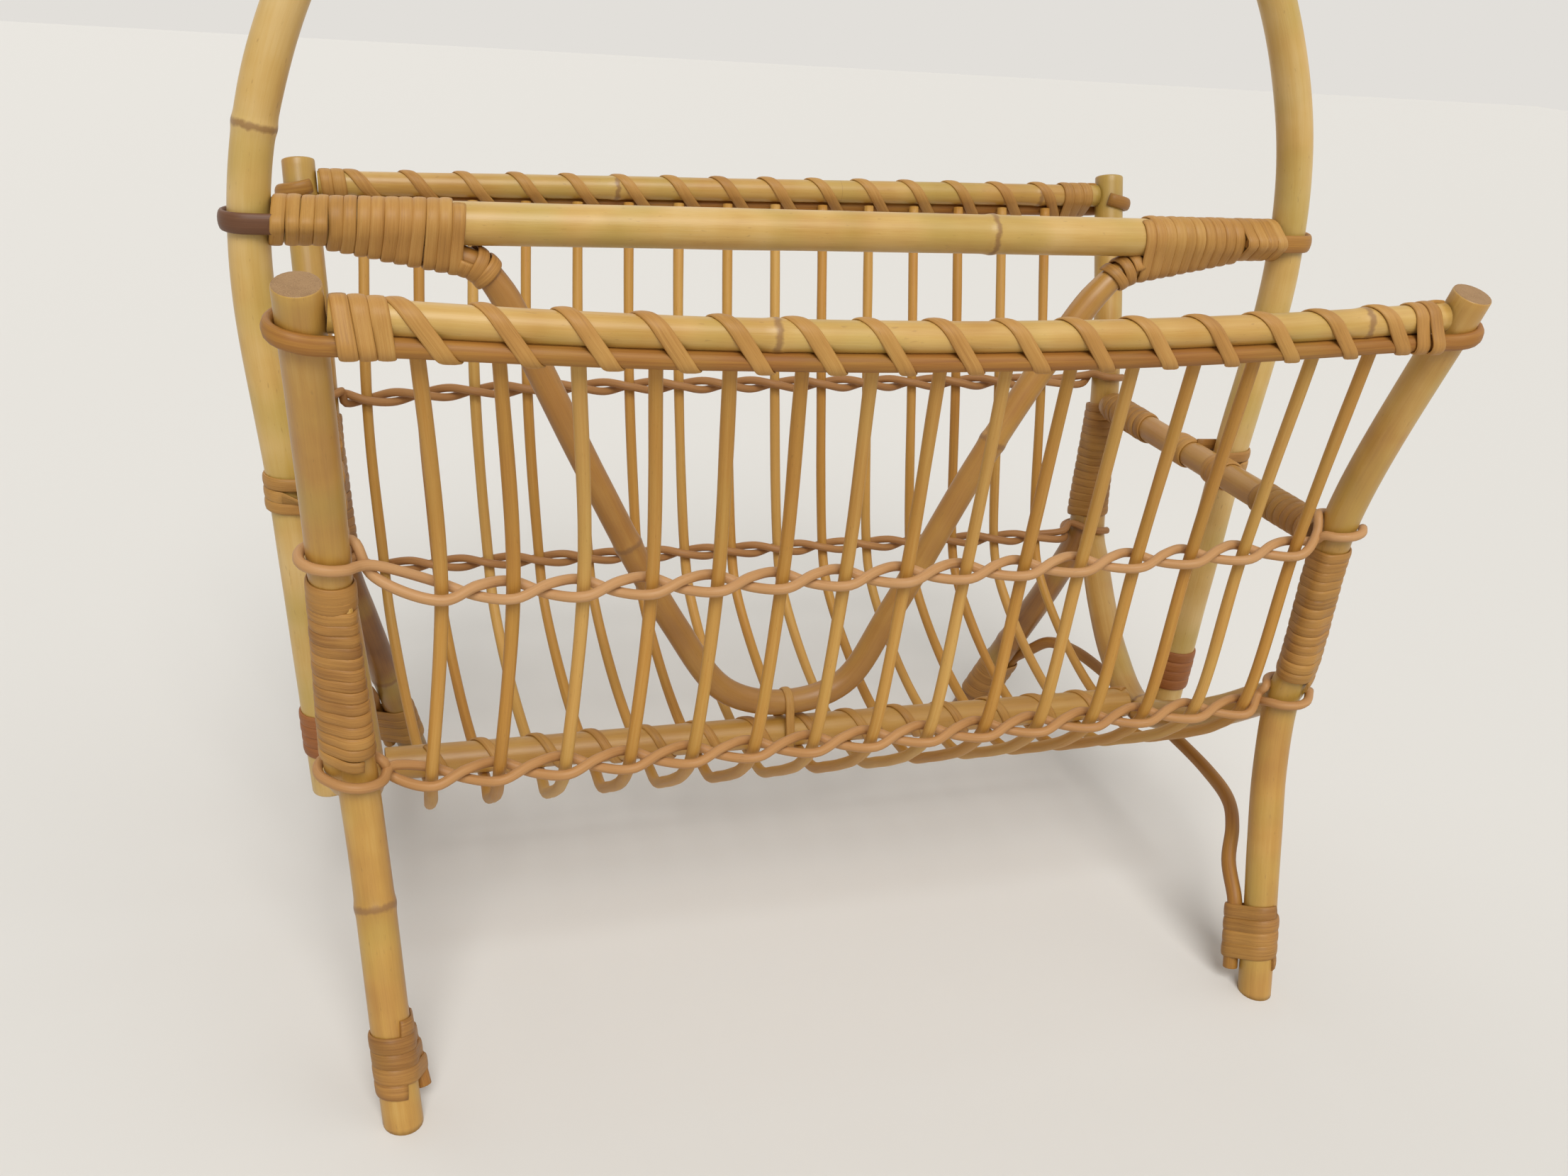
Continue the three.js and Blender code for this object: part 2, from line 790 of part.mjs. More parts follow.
function braidPoints(wallData, part) {
  const { wall } = wallData;
  const { leftLoopDrop, rightLoopDrop, loopRise } = wallData[part];
  const isHem = part === "hem";
  const out = vec(0, wall * Math.cos(wallLean), -Math.sin(wallLean));
  const up = vec(0, wall * Math.sin(wallLean), Math.cos(wallLean));
  const beside = radius.stake + 3 * gap + radius.strand;
  const over = radius.strand + gap;
  const rounds = (side) => [
    [0, 0, radius.post],
    ...(isHem ? [[-side * scarf.inward, wall * scarf.outward, radius.leg]] : []),
  ];
  const loopHeight = (side) => level[part] - (side < 0 ? leftLoopDrop : rightLoopDrop);
  const loopPoint = (side, share) => {
    const height = loopHeight(side) + (loopRise * (1 - share)) / 2;
    const post = postAt(side, wall, height);
    const turn = share * Math.PI;
    const angle = Math.atan2(wall * Math.sin(turn), side * Math.cos(turn));
    const [u, v] = bandPoint(rounds(side), angle, loopSteps, radius.strand + 2 * gap);
    return vec(post.x + u, post.y + v, height);
  };
  // Inner side of a post at the braid, where its halves meet.
  const innerEdge = radius.post + (isHem ? scarf.inward : 0);
  const postEdge = (side) => {
    const post = postAt(side, wall, loopHeight(side));
    return vec(post.x - side * innerEdge, post.y, post.z);
  };
  // One half of the strand, from left to right; phase 1 starts outside the left post.
  const half = (phase) => {
    const points = [];
    for (let i = 0; i < stakeCount; i += 1) {
      const stake = stakePoint(wallData, i, part);
      const outside = i % 2 === 0 ? -phase : phase;
      const before = i === 0 ? postEdge(-1) : stakePoint(wallData, i - 1, part);
      const cross = stake.clone().lerp(before, i === 0 ? endCrossShare : 0.5);
      points.push(cross.addScaledVector(up, over * -outside));
      points.push(stake.clone().addScaledVector(out, beside * outside));
      if (i === stakeCount - 1) {
        const last = stake.clone().lerp(postEdge(1), endCrossShare);
        points.push(last.addScaledVector(up, over * outside));
      }
    }
    return points;
  };
  const outerShares = [0.875, 0.625, 0.375, 0.125];
  const innerShares = outerShares.map((share) => -share);
  const leftLoop = [...outerShares, ...innerShares.slice().reverse()].map((share) =>
    loopPoint(-1, share),
  );
  const rightOuter = outerShares.map((share) => loopPoint(1, share));
  const rightInner = innerShares.slice(0, 3).map((share) => loopPoint(1, share));
  return [
    ...rightOuter.reverse(),
    ...half(1).reverse(),
    ...leftLoop,
    ...half(-1),
    ...rightInner,
  ];
}

function addBraids() {
  for (const wallData of walls) {
    for (const part of ["waist", "hem"]) {
      const points = braidPoints(wallData, part);
      add(`${part}_braid_${wallData.word}`, cane(points, radius.strand, sides.strand), "strand");
    }
  }
}

// Crossbars run from post to post inside the handle.
const crossbarHalfLength =
  Math.abs(postAt(1, -1, level.crossbar).y) - lashingStand(radius.post, loopSteps) - gap;

function addCrossbars() {
  for (const { side, word } of ends) {
    const x = side * crossbarHalfWidth;
    const points = [
      vec(x, -crossbarHalfLength, level.crossbar),
      vec(x, crossbarHalfLength, level.crossbar),
    ];
    add(`crossbar_${word}`, cane(points, radius.crossbar, sides.pole), "tan");
  }
}

// Leg braces: a rod bound to the back leg, arched under the end frame, bound to the front leg.
const rodSideStep = radius.leg + 2 * gap + radius.legBrace;

function braceBeside({ side, wall }, height) {
  const { lowTurn, highTurn } = side < 0 ? legBrace.left : legBrace.right;
  const share = (height - legBrace.low) / (legBrace.high - legBrace.low);
  const turned = wall < 0 ? mix(lowTurn, highTurn, share) : 0;
  return vec(
    side * wall * rodSideStep * Math.cos(turned),
    -wall * rodSideStep * Math.sin(turned),
    0,
  );
}

function braceHalf(side, wall) {
  const corner = corners.find((c) => c.side === side && c.wall === wall);
  const bound = braceBoundShares.map((share) => {
    const height = mix(legBrace.low, legBrace.high, share);
    return legAt(corner, height).add(braceBeside(corner, height));
  });
  const high = bound.at(-1);
  const crown = braceCrown(side);
  return [
    ...bound,
    ...braceShares.map(([widthShare, depthShare, riseShare]) =>
      vec(mix(high.x, crown.x, widthShare), depthShare * high.y, mix(high.z, crown.z, riseShare)),
    ),
  ];
}

function braceCrown(side) {
  const height = level.keel - radius.post - gap - radius.legBrace;
  const { outward } = side < 0 ? legBrace.left : legBrace.right;
  return vec(side * (halfWidth.keel + outward), 0, height);
}

function addLegBraces() {
  const braceSteps = 24;
  for (const { side, word } of ends) {
    const route = smooth([
      ...braceHalf(side, -1),
      braceCrown(side),
      ...braceHalf(side, 1).reverse(),
    ]);
    add(`leg_brace_${word}`, cane(route.getPoints(braceSteps), radius.legBrace, sides.rod), "strand");
  }
}

// Thin dark canes that pass round the handle and lie along both sides of the centre bar.
const barLoopSide = radius.bar + gap + radius.barLoop;

function addBarLoops() {
  const loopTurns = 6;
  const handleX = handleHalfWidthAt(level.bar);
  const round = Math.max(barLoopSide, radius.handle + gap + radius.barLoop);
  for (const { side, word } of ends) {
    const points = [vec(side * (handleX - barLoopReach), -barLoopSide, level.bar)];
    for (let i = 0; i <= loopTurns; i += 1) {
      const turn = mix(-0.5, 0.5, i / loopTurns) * Math.PI;
      const x = side * (handleX + round * Math.cos(turn));
      points.push(vec(x, round * Math.sin(turn), level.bar));
    }
    points.push(vec(side * (handleX - barLoopReach), barLoopSide, level.bar));
    add(`bar_loop_${word}`, cane(points, radius.barLoop, sides.rod), "brown");
  }
}

// Lashings of split cane.
function addPostLashings() {
  const { width, aboveHem } = lashing.post;
  const low = level.hem + aboveHem;
  for (const { side, wall, word } of corners) {
    const { turns, belowWaist } = side < 0 && wall < 0 ? lashing.frontLeftPost : lashing.post;
    const high = level.waist - belowWaist;
    const place = (share) => {
      const height = mix(low, high, share);
      const rounds = [[0, 0, radius.post]];
      if (height < scarf.top + width) {
        rounds.push([-side * scarf.inward, wall * scarf.outward, radius.leg]);
      }
      return {
        centre: postAt(side, wall, height),
        along: postWay(side, wall, height),
        uWay: xAxis,
        rounds,
      };
    };
    const path = windingPath({
      turns,
      stepCount: loopSteps,
      width,
      place,
      startAngle: (Math.PI * wall) / 2 + Math.PI / loopSteps,
      direction: side,
    });
    flatCane(`post_lashing_${word}`, path, "split");
  }
}

function addBarLashings() {
  const { width, turns, inner, outer } = lashing.bar;
  const start = dividerHalfWidth + inner;
  const stop = handleHalfWidthAt(level.bar) - outer;
  const loopEnd = handleHalfWidthAt(level.bar) - barLoopReach;
  for (const { side, word } of ends) {
    const place = (share) => {
      const x = mix(start, stop, share);
      const past = (x - dividerHalfWidth) / dividerEnd.reach;
      const rounds = [[0, 0, radius.bar]];
      if (past < 1) {
        rounds.push([0, dividerTop - level.bar + past * dividerEnd.rise, radius.divider]);
      }
      if (x > loopEnd - 2 * width) {
        rounds.push([-barLoopSide, 0, radius.barLoop], [barLoopSide, 0, radius.barLoop]);
      }
      return { centre: vec(side * x, 0, level.bar), along: xAxis, uWay: yAxis, rounds };
    };
    const path = windingPath({
      turns,
      stepCount: loopSteps,
      width,
      place,
      startAngle: Math.PI / 2 + Math.PI / loopSteps,
      direction: 1,
    });
    flatCane(`bar_lashing_${word}`, path, "split");
  }
}

function addFootLashings() {
  const { width, turns, low, high } = lashing.foot;
  for (const corner of corners) {
    const place = (share) => {
      const height = mix(low, high, share);
      const rod = braceBeside(corner, height);
      return {
        centre: legAt(corner, height),
        along: legWay(corner, height),
        uWay: xAxis,
        rounds: [
          [0, 0, radius.leg],
          [rod.x, rod.y, radius.legBrace + 4 * gap],
        ],
      };
    };
    const path = windingPath({
      turns,
      stepCount: loopSteps,
      width,
      place,
      startAngle: (Math.PI * corner.wall) / 2 + Math.PI / loopSteps,
      direction: corner.side,
    });
    flatCane(`foot_lashing_${corner.word}`, path, "split");
  }
}

function addCrossbarLashings() {
  const { width, turns, fromEnd, length } = lashing.crossbar;
  for (const { side, wall, word } of corners) {
    const start = crossbarHalfLength - fromEnd;
    const place = (share) => ({
      centre: vec(side * crossbarHalfWidth, wall * (start - share * length), level.crossbar),
      along: downY,
      uWay: xAxis,
      rounds: [[0, 0, radius.crossbar]],
    });
    const path = windingPath({
      turns,
      stepCount: fewLoopSteps,
      width,
      place,
      startAngle: -Math.PI / 2,
      direction: 1,
    });
    flatCane(`crossbar_lashing_${word}`, path, "split");
  }
}

// Turns on the crossbar at both sides of the handle, joined by a pass round the handle.
function addJointLashings() {
  const { width, turns, near, far, climb } = lashing.joint;
  const passSteps = 4;
  for (const { side, word } of ends) {
    const winding = (wall) =>
      windingPath({
        turns,
        stepCount: fewLoopSteps,
        width,
        place: (share) => ({
          centre: vec(
            side * crossbarHalfWidth,
            wall * (wall < 0 ? mix(far, near, share) : mix(near, far, share)),
            level.crossbar,
          ),
          along: vec(0, -side, 0),
          uWay: vec(side, 0, 0),
          rounds: [[0, 0, radius.crossbar]],
        }),
        startAngle: wall * (Math.PI / fewLoopSteps),
        direction: 1,
      });
    const stand = (radius.handle + 2 * gap) / Math.cos(Math.PI / (2 * passSteps));
    const pass = [];
    for (let i = 0; i <= passSteps; i += 1) {
      const turn = mix(-0.5, 0.5, i / passSteps) * Math.PI;
      const out = vec(side * Math.cos(turn), Math.sin(turn), 0);
      const height = level.crossbar + mix(-climb, climb, i / passSteps);
      const point = vec(side * handleJointHalfWidth, 0, height).addScaledVector(out, stand);
      pass.push({ point, out, across: vec(0, 0, (side * width) / 2) });
    }
    flatCane(`joint_lashing_${word}`, [...winding(-1), ...pass, ...winding(1)], "split");
  }
}

function addHandleLashings() {
  const { width, turns, low, high } = lashing.handle;
  for (const { side, word } of ends) {
    const way = handleAt(side, high).sub(handleAt(side, low)).normalize();
    const place = (share) => ({
      centre: handleAt(side, mix(low, high, share)),
      along: way,
      uWay: xAxis,
      rounds: [[0, 0, radius.handle]],
    });
    const path = windingPath({
      turns,
      stepCount: fewLoopSteps,
      width,
      place,
      startAngle: Math.PI / 2,
      direction: side,
    });
    flatCane(`handle_lashing_${word}`, path, "red");
  }
}

// The spiral on the base bar passes under it between the stakes.
function addBaseBinding() {
  const start = stakeAcross(0, "keel") + stakeLean.keel;
  const stop = stakeAcross(stakeCount - 1, "keel") + stakeLean.keel;
  const place = (share) => ({
    centre: vec(mix(start, stop, share), 0, level.baseBar),
    along: xAxis,
    uWay: yAxis,
    rounds: [[0, 0, radius.baseBar]],
  });
  const path = windingPath({
    turns: stakeCount - 1,
    stepCount: loopSteps,
    width: lashing.base.width,
    place,
    startAngle: Math.PI / 2,
    direction: 1,
  });
  flatCane("base_binding", path, "split");
}

addEndFrames();
addLegs();
addHandle();
addCentreBar();
addDivider();
addBaseBar();
addRims();
addRimRods();
walls.forEach(addRimBinding);
addStakes();
addBraids();
addCrossbars();
addLegBraces();
addBarLoops();
addPostLashings();
addBarLashings();
addFootLashings();
addCrossbarLashings();
addJointLashings();
addHandleLashings();
addBaseBinding();

export default rack;
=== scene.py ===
import math
from bisect import bisect_right

import bmesh
import bpy
from mathutils import Matrix, Vector, noise


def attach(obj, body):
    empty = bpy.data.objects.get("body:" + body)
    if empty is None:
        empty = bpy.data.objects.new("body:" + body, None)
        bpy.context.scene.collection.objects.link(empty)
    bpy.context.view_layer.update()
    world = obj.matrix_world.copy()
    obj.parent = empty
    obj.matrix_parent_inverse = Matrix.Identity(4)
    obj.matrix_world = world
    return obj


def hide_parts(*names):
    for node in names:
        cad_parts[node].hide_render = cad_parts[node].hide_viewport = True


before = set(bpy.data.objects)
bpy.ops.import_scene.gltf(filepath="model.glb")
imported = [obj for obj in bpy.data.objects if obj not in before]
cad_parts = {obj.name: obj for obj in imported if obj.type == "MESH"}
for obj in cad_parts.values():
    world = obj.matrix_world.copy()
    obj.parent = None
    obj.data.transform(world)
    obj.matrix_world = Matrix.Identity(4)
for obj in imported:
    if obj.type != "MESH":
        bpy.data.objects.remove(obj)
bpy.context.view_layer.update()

mm = 0.001  # sizes below are millimetres, Blender's are metres
gap = 0.3  # air between two canes that touch
wrapThickness = 1.3  # split cane of the windings
noScar = 40  # a ring this far from a joint shows nothing of its scar
leftRight = {-1: "Left", 1: "Right"}
frontBack = {-1: "Front", 1: "Back"}
corners = [(side, wall, (frontBack[wall], leftRight[side])) for side in leftRight for wall in frontBack]
xWay, yWay, zWay = Vector((1, 0, 0)), Vector((0, 1, 0)), Vector((0, 0, 1))


# courses that the canes follow

def mix(a, b, share):
    return a + (b - a) * share


def clamp(value, low=0, high=1):
    return min(max(value, low), high)


def sampled(steps, at):
    return [at(i / steps) for i in range(steps + 1)]


def straight(start, end, steps=60):
    return sampled(steps, lambda share: start.lerp(end, share))


def between(a, b, shares):
    # places between two others, with a share each for width, depth and height
    return [Vector([mix(*pair) for pair in zip(a, b, place)]) for place in shares]


def facing(angle, side=1, wall=1):
    # the way out of an upright cane, turned from a side towards a wall
    return Vector((side * math.cos(angle), wall * math.sin(angle), 0))


def smoothCourse(keys, steps=240):
    # a bent cane takes up a centripetal spline through the places where it is held
    course = []
    last = len(keys) - 1
    for i in range(steps + 1):
        at = last * i / steps
        k = min(int(at), last - 1)
        t = at - k
        p1, p2 = keys[k], keys[k + 1]
        p0 = keys[k - 1] if k > 0 else p1 * 2 - p2
        p3 = keys[k + 2] if k + 2 <= last else p2 * 2 - p1
        d0, d1, d2 = [(b - a).length ** 0.5 for a, b in ((p0, p1), (p1, p2), (p2, p3))]
        m1 = ((p1 - p0) / d0 - (p2 - p0) / (d0 + d1) + (p2 - p1) / d1) * d1
        m2 = ((p2 - p1) / d1 - (p3 - p1) / (d1 + d2) + (p3 - p2) / d2) * d1
        course.append(
            p1 + m1 * t
            + (p1 * -3 + p2 * 3 - m1 * 2 - m2) * t ** 2
            + (p1 * 2 - p2 * 2 + m1 + m2) * t ** 3
        )
    return course


def atHeight(course, height):
    for before, after in zip(course, course[1:]):
        if (before.z - height) * (after.z - height) <= 0 and before.z != after.z:
            return before.lerp(after, (height - before.z) / (after.z - before.z))
    return min((course[-1], course[0]), key=lambda place: abs(place.z - height))


def measured(course):
    distances = [0.0]
    for before, after in zip(course, course[1:]):
        distances.append(distances[-1] + (after - before).length)
    return distances


def wayAt(heldAt, height, reach):
    # a place on an upright cane, and the way that the cane goes there
    below, above = [heldAt(height + step) for step in reach]
    return heldAt(height), (above - below).normalized()


def distanceWhere(course, reached):
    return next(distance for place, distance in zip(course, measured(course)) if reached(place))


def placeAt(course, distances, distance):
    distance = clamp(distance, 0, distances[-1])
    k = clamp(bisect_right(distances, distance) - 1, 0, len(course) - 2)
    span = distances[k + 1] - distances[k]
    return course[k].lerp(course[k + 1], (distance - distances[k]) / span if span else 0)


# canes, swept from a grid that closes round the course

def roundSection(sides):
    return [(math.cos(2 * math.pi * i / sides), math.sin(2 * math.pi * i / sides)) for i in range(sides)]


# a split cane lies flat on its inner face and is crowned on its skin side
flatSection = [
    (-1, 0.2), (-0.96, 0.5), (-0.82, 0.8), (-0.45, 0.96), (0, 1), (0.45, 0.96), (0.82, 0.8), (0.96, 0.5),
    (1, 0.2), (0.9, 0), (0, -0.06), (-0.9, 0),
]
# how unevenly canes grow and bands are wound: lengths along a cane, turns of a winding, and amounts
growth = {"thickness": 38, "drift": 60, "swell": 2.6, "jointRings": (-5, -3, -1.8, -0.9, 0, 0.9, 1.8, 3, 5)}
winding = {"turns": 1.3, "leanTurns": 1.9, "lift": 0.05, "lifts": 0.25, "widths": 0.12}


def waver(along, seed, row):
    # a slow wander with a seed for each piece and a row for each use
    return noise.noise(Vector((along, seed, row)))


def roundRings(course, radius, spacing=4, tone=0.5, joints=(), swell=0.5, wobble=0.15, seed=0, taper=None,
               press=None):
    distances = measured(course)
    total = distances[-1]
    count = max(int(total / spacing), 2)
    stops = {total * i / count for i in range(count + 1)}
    for joint in joints:
        stops |= {clamp(joint + step, 0, total) for step in growth["jointRings"]}
    rings = []
    axis = None
    for distance in sorted(stops):
        along = placeAt(course, distances, distance + 1) - placeAt(course, distances, distance - 1)
        along.normalize()
        if axis is None:
            axis = along.orthogonal().normalized()
        centre = placeAt(course, distances, distance)
        flat = 1
        if press:
            # a cane that is pared to pass round a pole keeps its flat side to it
            out, flat = press(centre)
            axis = along.cross(out)
        axis = (axis - along * axis.dot(along)).normalized()
        side = axis.cross(along) if press else along.cross(axis)
        nearest = min((distance - joint for joint in joints), key=abs, default=noScar)
        bulge = swell * math.exp(-(nearest / growth["swell"]) ** 2)
        uneven = wobble * waver(distance / growth["thickness"], seed * 7.3, 0.5)
        across = wobble * waver(distance / growth["drift"], seed * 3.1, 4.2)
        outward = wobble * waver(distance / growth["drift"], seed * 5.7, 9.4)
        size = (radius + bulge + uneven) * (taper(distance / total, centre) if taper else 1)
        rings.append({
            "centre": centre + axis * across + side * outward,
            "across": axis, "out": side, "width": size, "height": size * flat, "curl": 0,
            "distance": distance + seed * 173, "tone": tone(distance / total) if callable(tone) else tone,
            "joint": clamp(nearest, -noScar, noScar),
        })
    return rings


def hullPoint(circles, angle, lift):
    # where a taut band that faces this way touches the outermost cane of a bundle
    u, v = math.cos(angle), math.sin(angle)
    a, b, r = max(circles, key=lambda c: c[0] * u + c[1] * v + c[2])
    return a + (r + lift) * u, b + (r + lift) * v


def hullLoop(circles, steps=60):
    # the taut outline of a bundle: running length, place and facing angle all the way round
    loop = []
    length = 0
    for i in range(steps + 1):
        angle = 2 * math.pi * i / steps
        place = Vector(hullPoint(circles, angle, 0))
        length += (place - loop[-1][1]).length if loop else 0
        loop.append((length, place, angle))
    return loop


def onHull(circles, startAngle, turned):
    # a band keeps its slant over the flats between canes, so it goes by length and not by angle
    loop = hullLoop(circles)
    whole = loop[-1][0]
    first = loop[round(startAngle / (2 * math.pi) * (len(loop) - 1)) % (len(loop) - 1)][0]
    length = (first + turned * whole) % whole
    k = min(bisect_right(loop, length, key=lambda stop: stop[0]) - 1, len(loop) - 2)
    before, after = loop[k], loop[k + 1]
    share = (length - before[0]) / max(after[0] - before[0], 1e-6)
    return before[1].lerp(after[1], share), mix(before[2], after[2], share)


def bandRings(points, tone, start):
    # flat cane laid along given points, its skin facing out; the slant of a turn makes it hollow
    rings = []
    distance = start
    for i, point in enumerate(points):
        before, after = points[max(i - 1, 0)]["centre"], points[min(i + 1, len(points) - 1)]["centre"]
        way = (after - before).normalized()
        across = point["out"].cross(way).normalized()
        curl = point["hollow"] * way.dot(point["along"]) ** 2
        rings.append(dict(point, across=across, out=way.cross(across).normalized(), curl=curl, distance=distance,
                          tone=tone, joint=noScar))
        distance += (after - point["centre"]).length
    return rings


def wrapRings(bundleAt, wrap, startAngle, direction, steps=30, advance=None, seed=0, tilt=0.0):
    # one unbroken band wound round a bundle of canes
    points = []
    for i in range(round(wrap["turns"] * steps) + 1):
        turn = i / steps
        centre, along, uWay, circles, *wide = bundleAt(advance(turn) if advance else turn / wrap["turns"])
        u = (uWay - along * uWay.dot(along)).normalized()
        v = along.cross(u)
        touch, angle = onHull(circles, startAngle, direction * turn)
        out = u * math.cos(angle) + v * math.sin(angle)
        reach = winding["lift"] + winding["lifts"] * waver(turn * winding["turns"], seed * 4.1, 2.2)
        lean = tilt * waver(turn * winding["leanTurns"], seed * 3.3, 6.1)
        broader = 1 + winding["widths"] * waver(turn * winding["turns"], seed * 1.7, 7)
        points.append({
            "centre": centre + u * touch.x + v * touch.y + out * reach + along * lean, "out": out,
            "width": (wide[0] if wide else wrap["width"]) / 2 * broader,
            "height": wrap.get("thickness", wrapThickness),
            "along": along, "hollow": 1 / (2 * max(c[2] for c in circles)),
        })
    return bandRings(points, wrap["tone"], seed * 211)


def newObject(name, data):
    thing = bpy.data.objects.new(name, data)
    bpy.context.collection.objects.link(thing)
    return thing


def newPiece(name, mesh, finish):
    data = bpy.data.meshes.new(name)
    mesh.to_mesh(data)
    mesh.free()
    data.materials.append(finish)
    return newObject(name, data)


def sweepCane(name, rings, section, finish, nodeName, where=(), endFinish=None, bevel=0, floor=None):
    # the grid's length runs along the cane, and its width closes round it
    mesh = bmesh.new()
    space = mesh.verts.layers.float_vector.new("caneSpace")
    toneLayer = mesh.verts.layers.float.new("caneTone")
    jointLayer = mesh.verts.layers.float.new("caneJoint")
    long, around = len(rings) - 1, len(section)
    bmesh.ops.create_grid(mesh, x_segments=long, y_segments=around, size=1)
    for vert in mesh.verts:
        ring = rings[round((vert.co.x + 1) / 2 * long)]
        a, b = section[round((vert.co.y + 1) / 2 * around) % around]
        a, b = a * ring["width"], b * ring["height"]
        vert.co = (ring["centre"] + ring["across"] * a + ring["out"] * (b - ring["curl"] * a * a)) * mm
        vert[space] = Vector((ring["distance"], a, b)) * mm
        vert[toneLayer] = ring["tone"]
        vert[jointLayer] = ring["joint"] * mm
    bmesh.ops.remove_doubles(mesh, verts=mesh.verts, dist=1e-7)
    if floor is not None:
        everything = mesh.verts[:] + mesh.edges[:] + mesh.faces[:]
        bmesh.ops.bisect_plane(mesh, geom=everything, plane_co=(0, 0, floor), plane_no=(0, 0, 1), clear_inner=True)
    openEdges = [edge for edge in mesh.edges if edge.is_boundary]
    caps = bmesh.ops.holes_fill(mesh, edges=openEdges, sides=0)["faces"]
    for face in mesh.faces:
        face.smooth = True
    for face in caps:
        face.smooth = False
        face.material_index = 1 if endFinish else 0
    if bevel:
        lip = list(dict.fromkeys(edge for face in caps for edge in face.edges))
        bmesh.ops.bevel(mesh, geom=lip, offset=bevel * mm, segments=2, affect="EDGES", profile=0.5, material=-1)
    bmesh.ops.recalc_face_normals(mesh, faces=mesh.faces)
    piece = newPiece(name + "".join(where), mesh, finish)
    if endFinish:
        piece.data.materials.append(endFinish)
    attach(piece, "root")
    if nodeName:
        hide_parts("_".join((nodeName, *where)).lower())


def bendCane(name, course, radius, sides, finish, slotName, nodeName, where=(), sawn=True, bevel=0, floor=None,
             **nature):
    rings = roundRings(course, radius, **nature)
    endFinish = endGrain if sawn else None
    sweepCane(name, rings, roundSection(sides), finish, nodeName, where, endFinish, bevel, floor)


def windBand(name, bundleAt, wrap, startAngle, direction, nodeName, where=(), finish=None, slotName="split_cane",
             **nature):
    rings = wrapRings(bundleAt, wrap, startAngle, direction, **nature)
    sweepCane(name, rings, flatSection, finish or splitCane, nodeName, where)


# materials

def linear(hexText):
    # sRGB hex to the linear colour that the shader takes
    values = [int(hexText[i:i + 2], 16) / 255 for i in (1, 3, 5)]
    return tuple(v / 12.92 if v <= 0.04045 else ((v + 0.055) / 1.055) ** 2.4 for v in values) + (1,)


def setNode(tree, node, values=None, links=None):
    for key, value in (values or {}).items():
        node.inputs[key].default_value = value
    for key, source in (links or {}).items():
        tree.links.new(source, node.inputs[key])


def addNode(tree, kind, values=None, links=None, stops=None, **settings):
    node = tree.nodes.new("ShaderNode" + kind)
    for key, value in settings.items():
        setattr(node, key, value)
    setNode(tree, node, values, links)
    if stops:
        ramp = node.color_ramp
        while len(ramp.elements) < len(stops):
            ramp.elements.new(1)
        for element, (place, colour) in zip(ramp.elements, stops):
            element.position = place
            element.color = linear(colour)
    return node


def newMaterial(name):
    material = bpy.data.materials.new(name)
    material.use_nodes = True
    return material, material.node_tree, material.node_tree.nodes["Principled BSDF"]


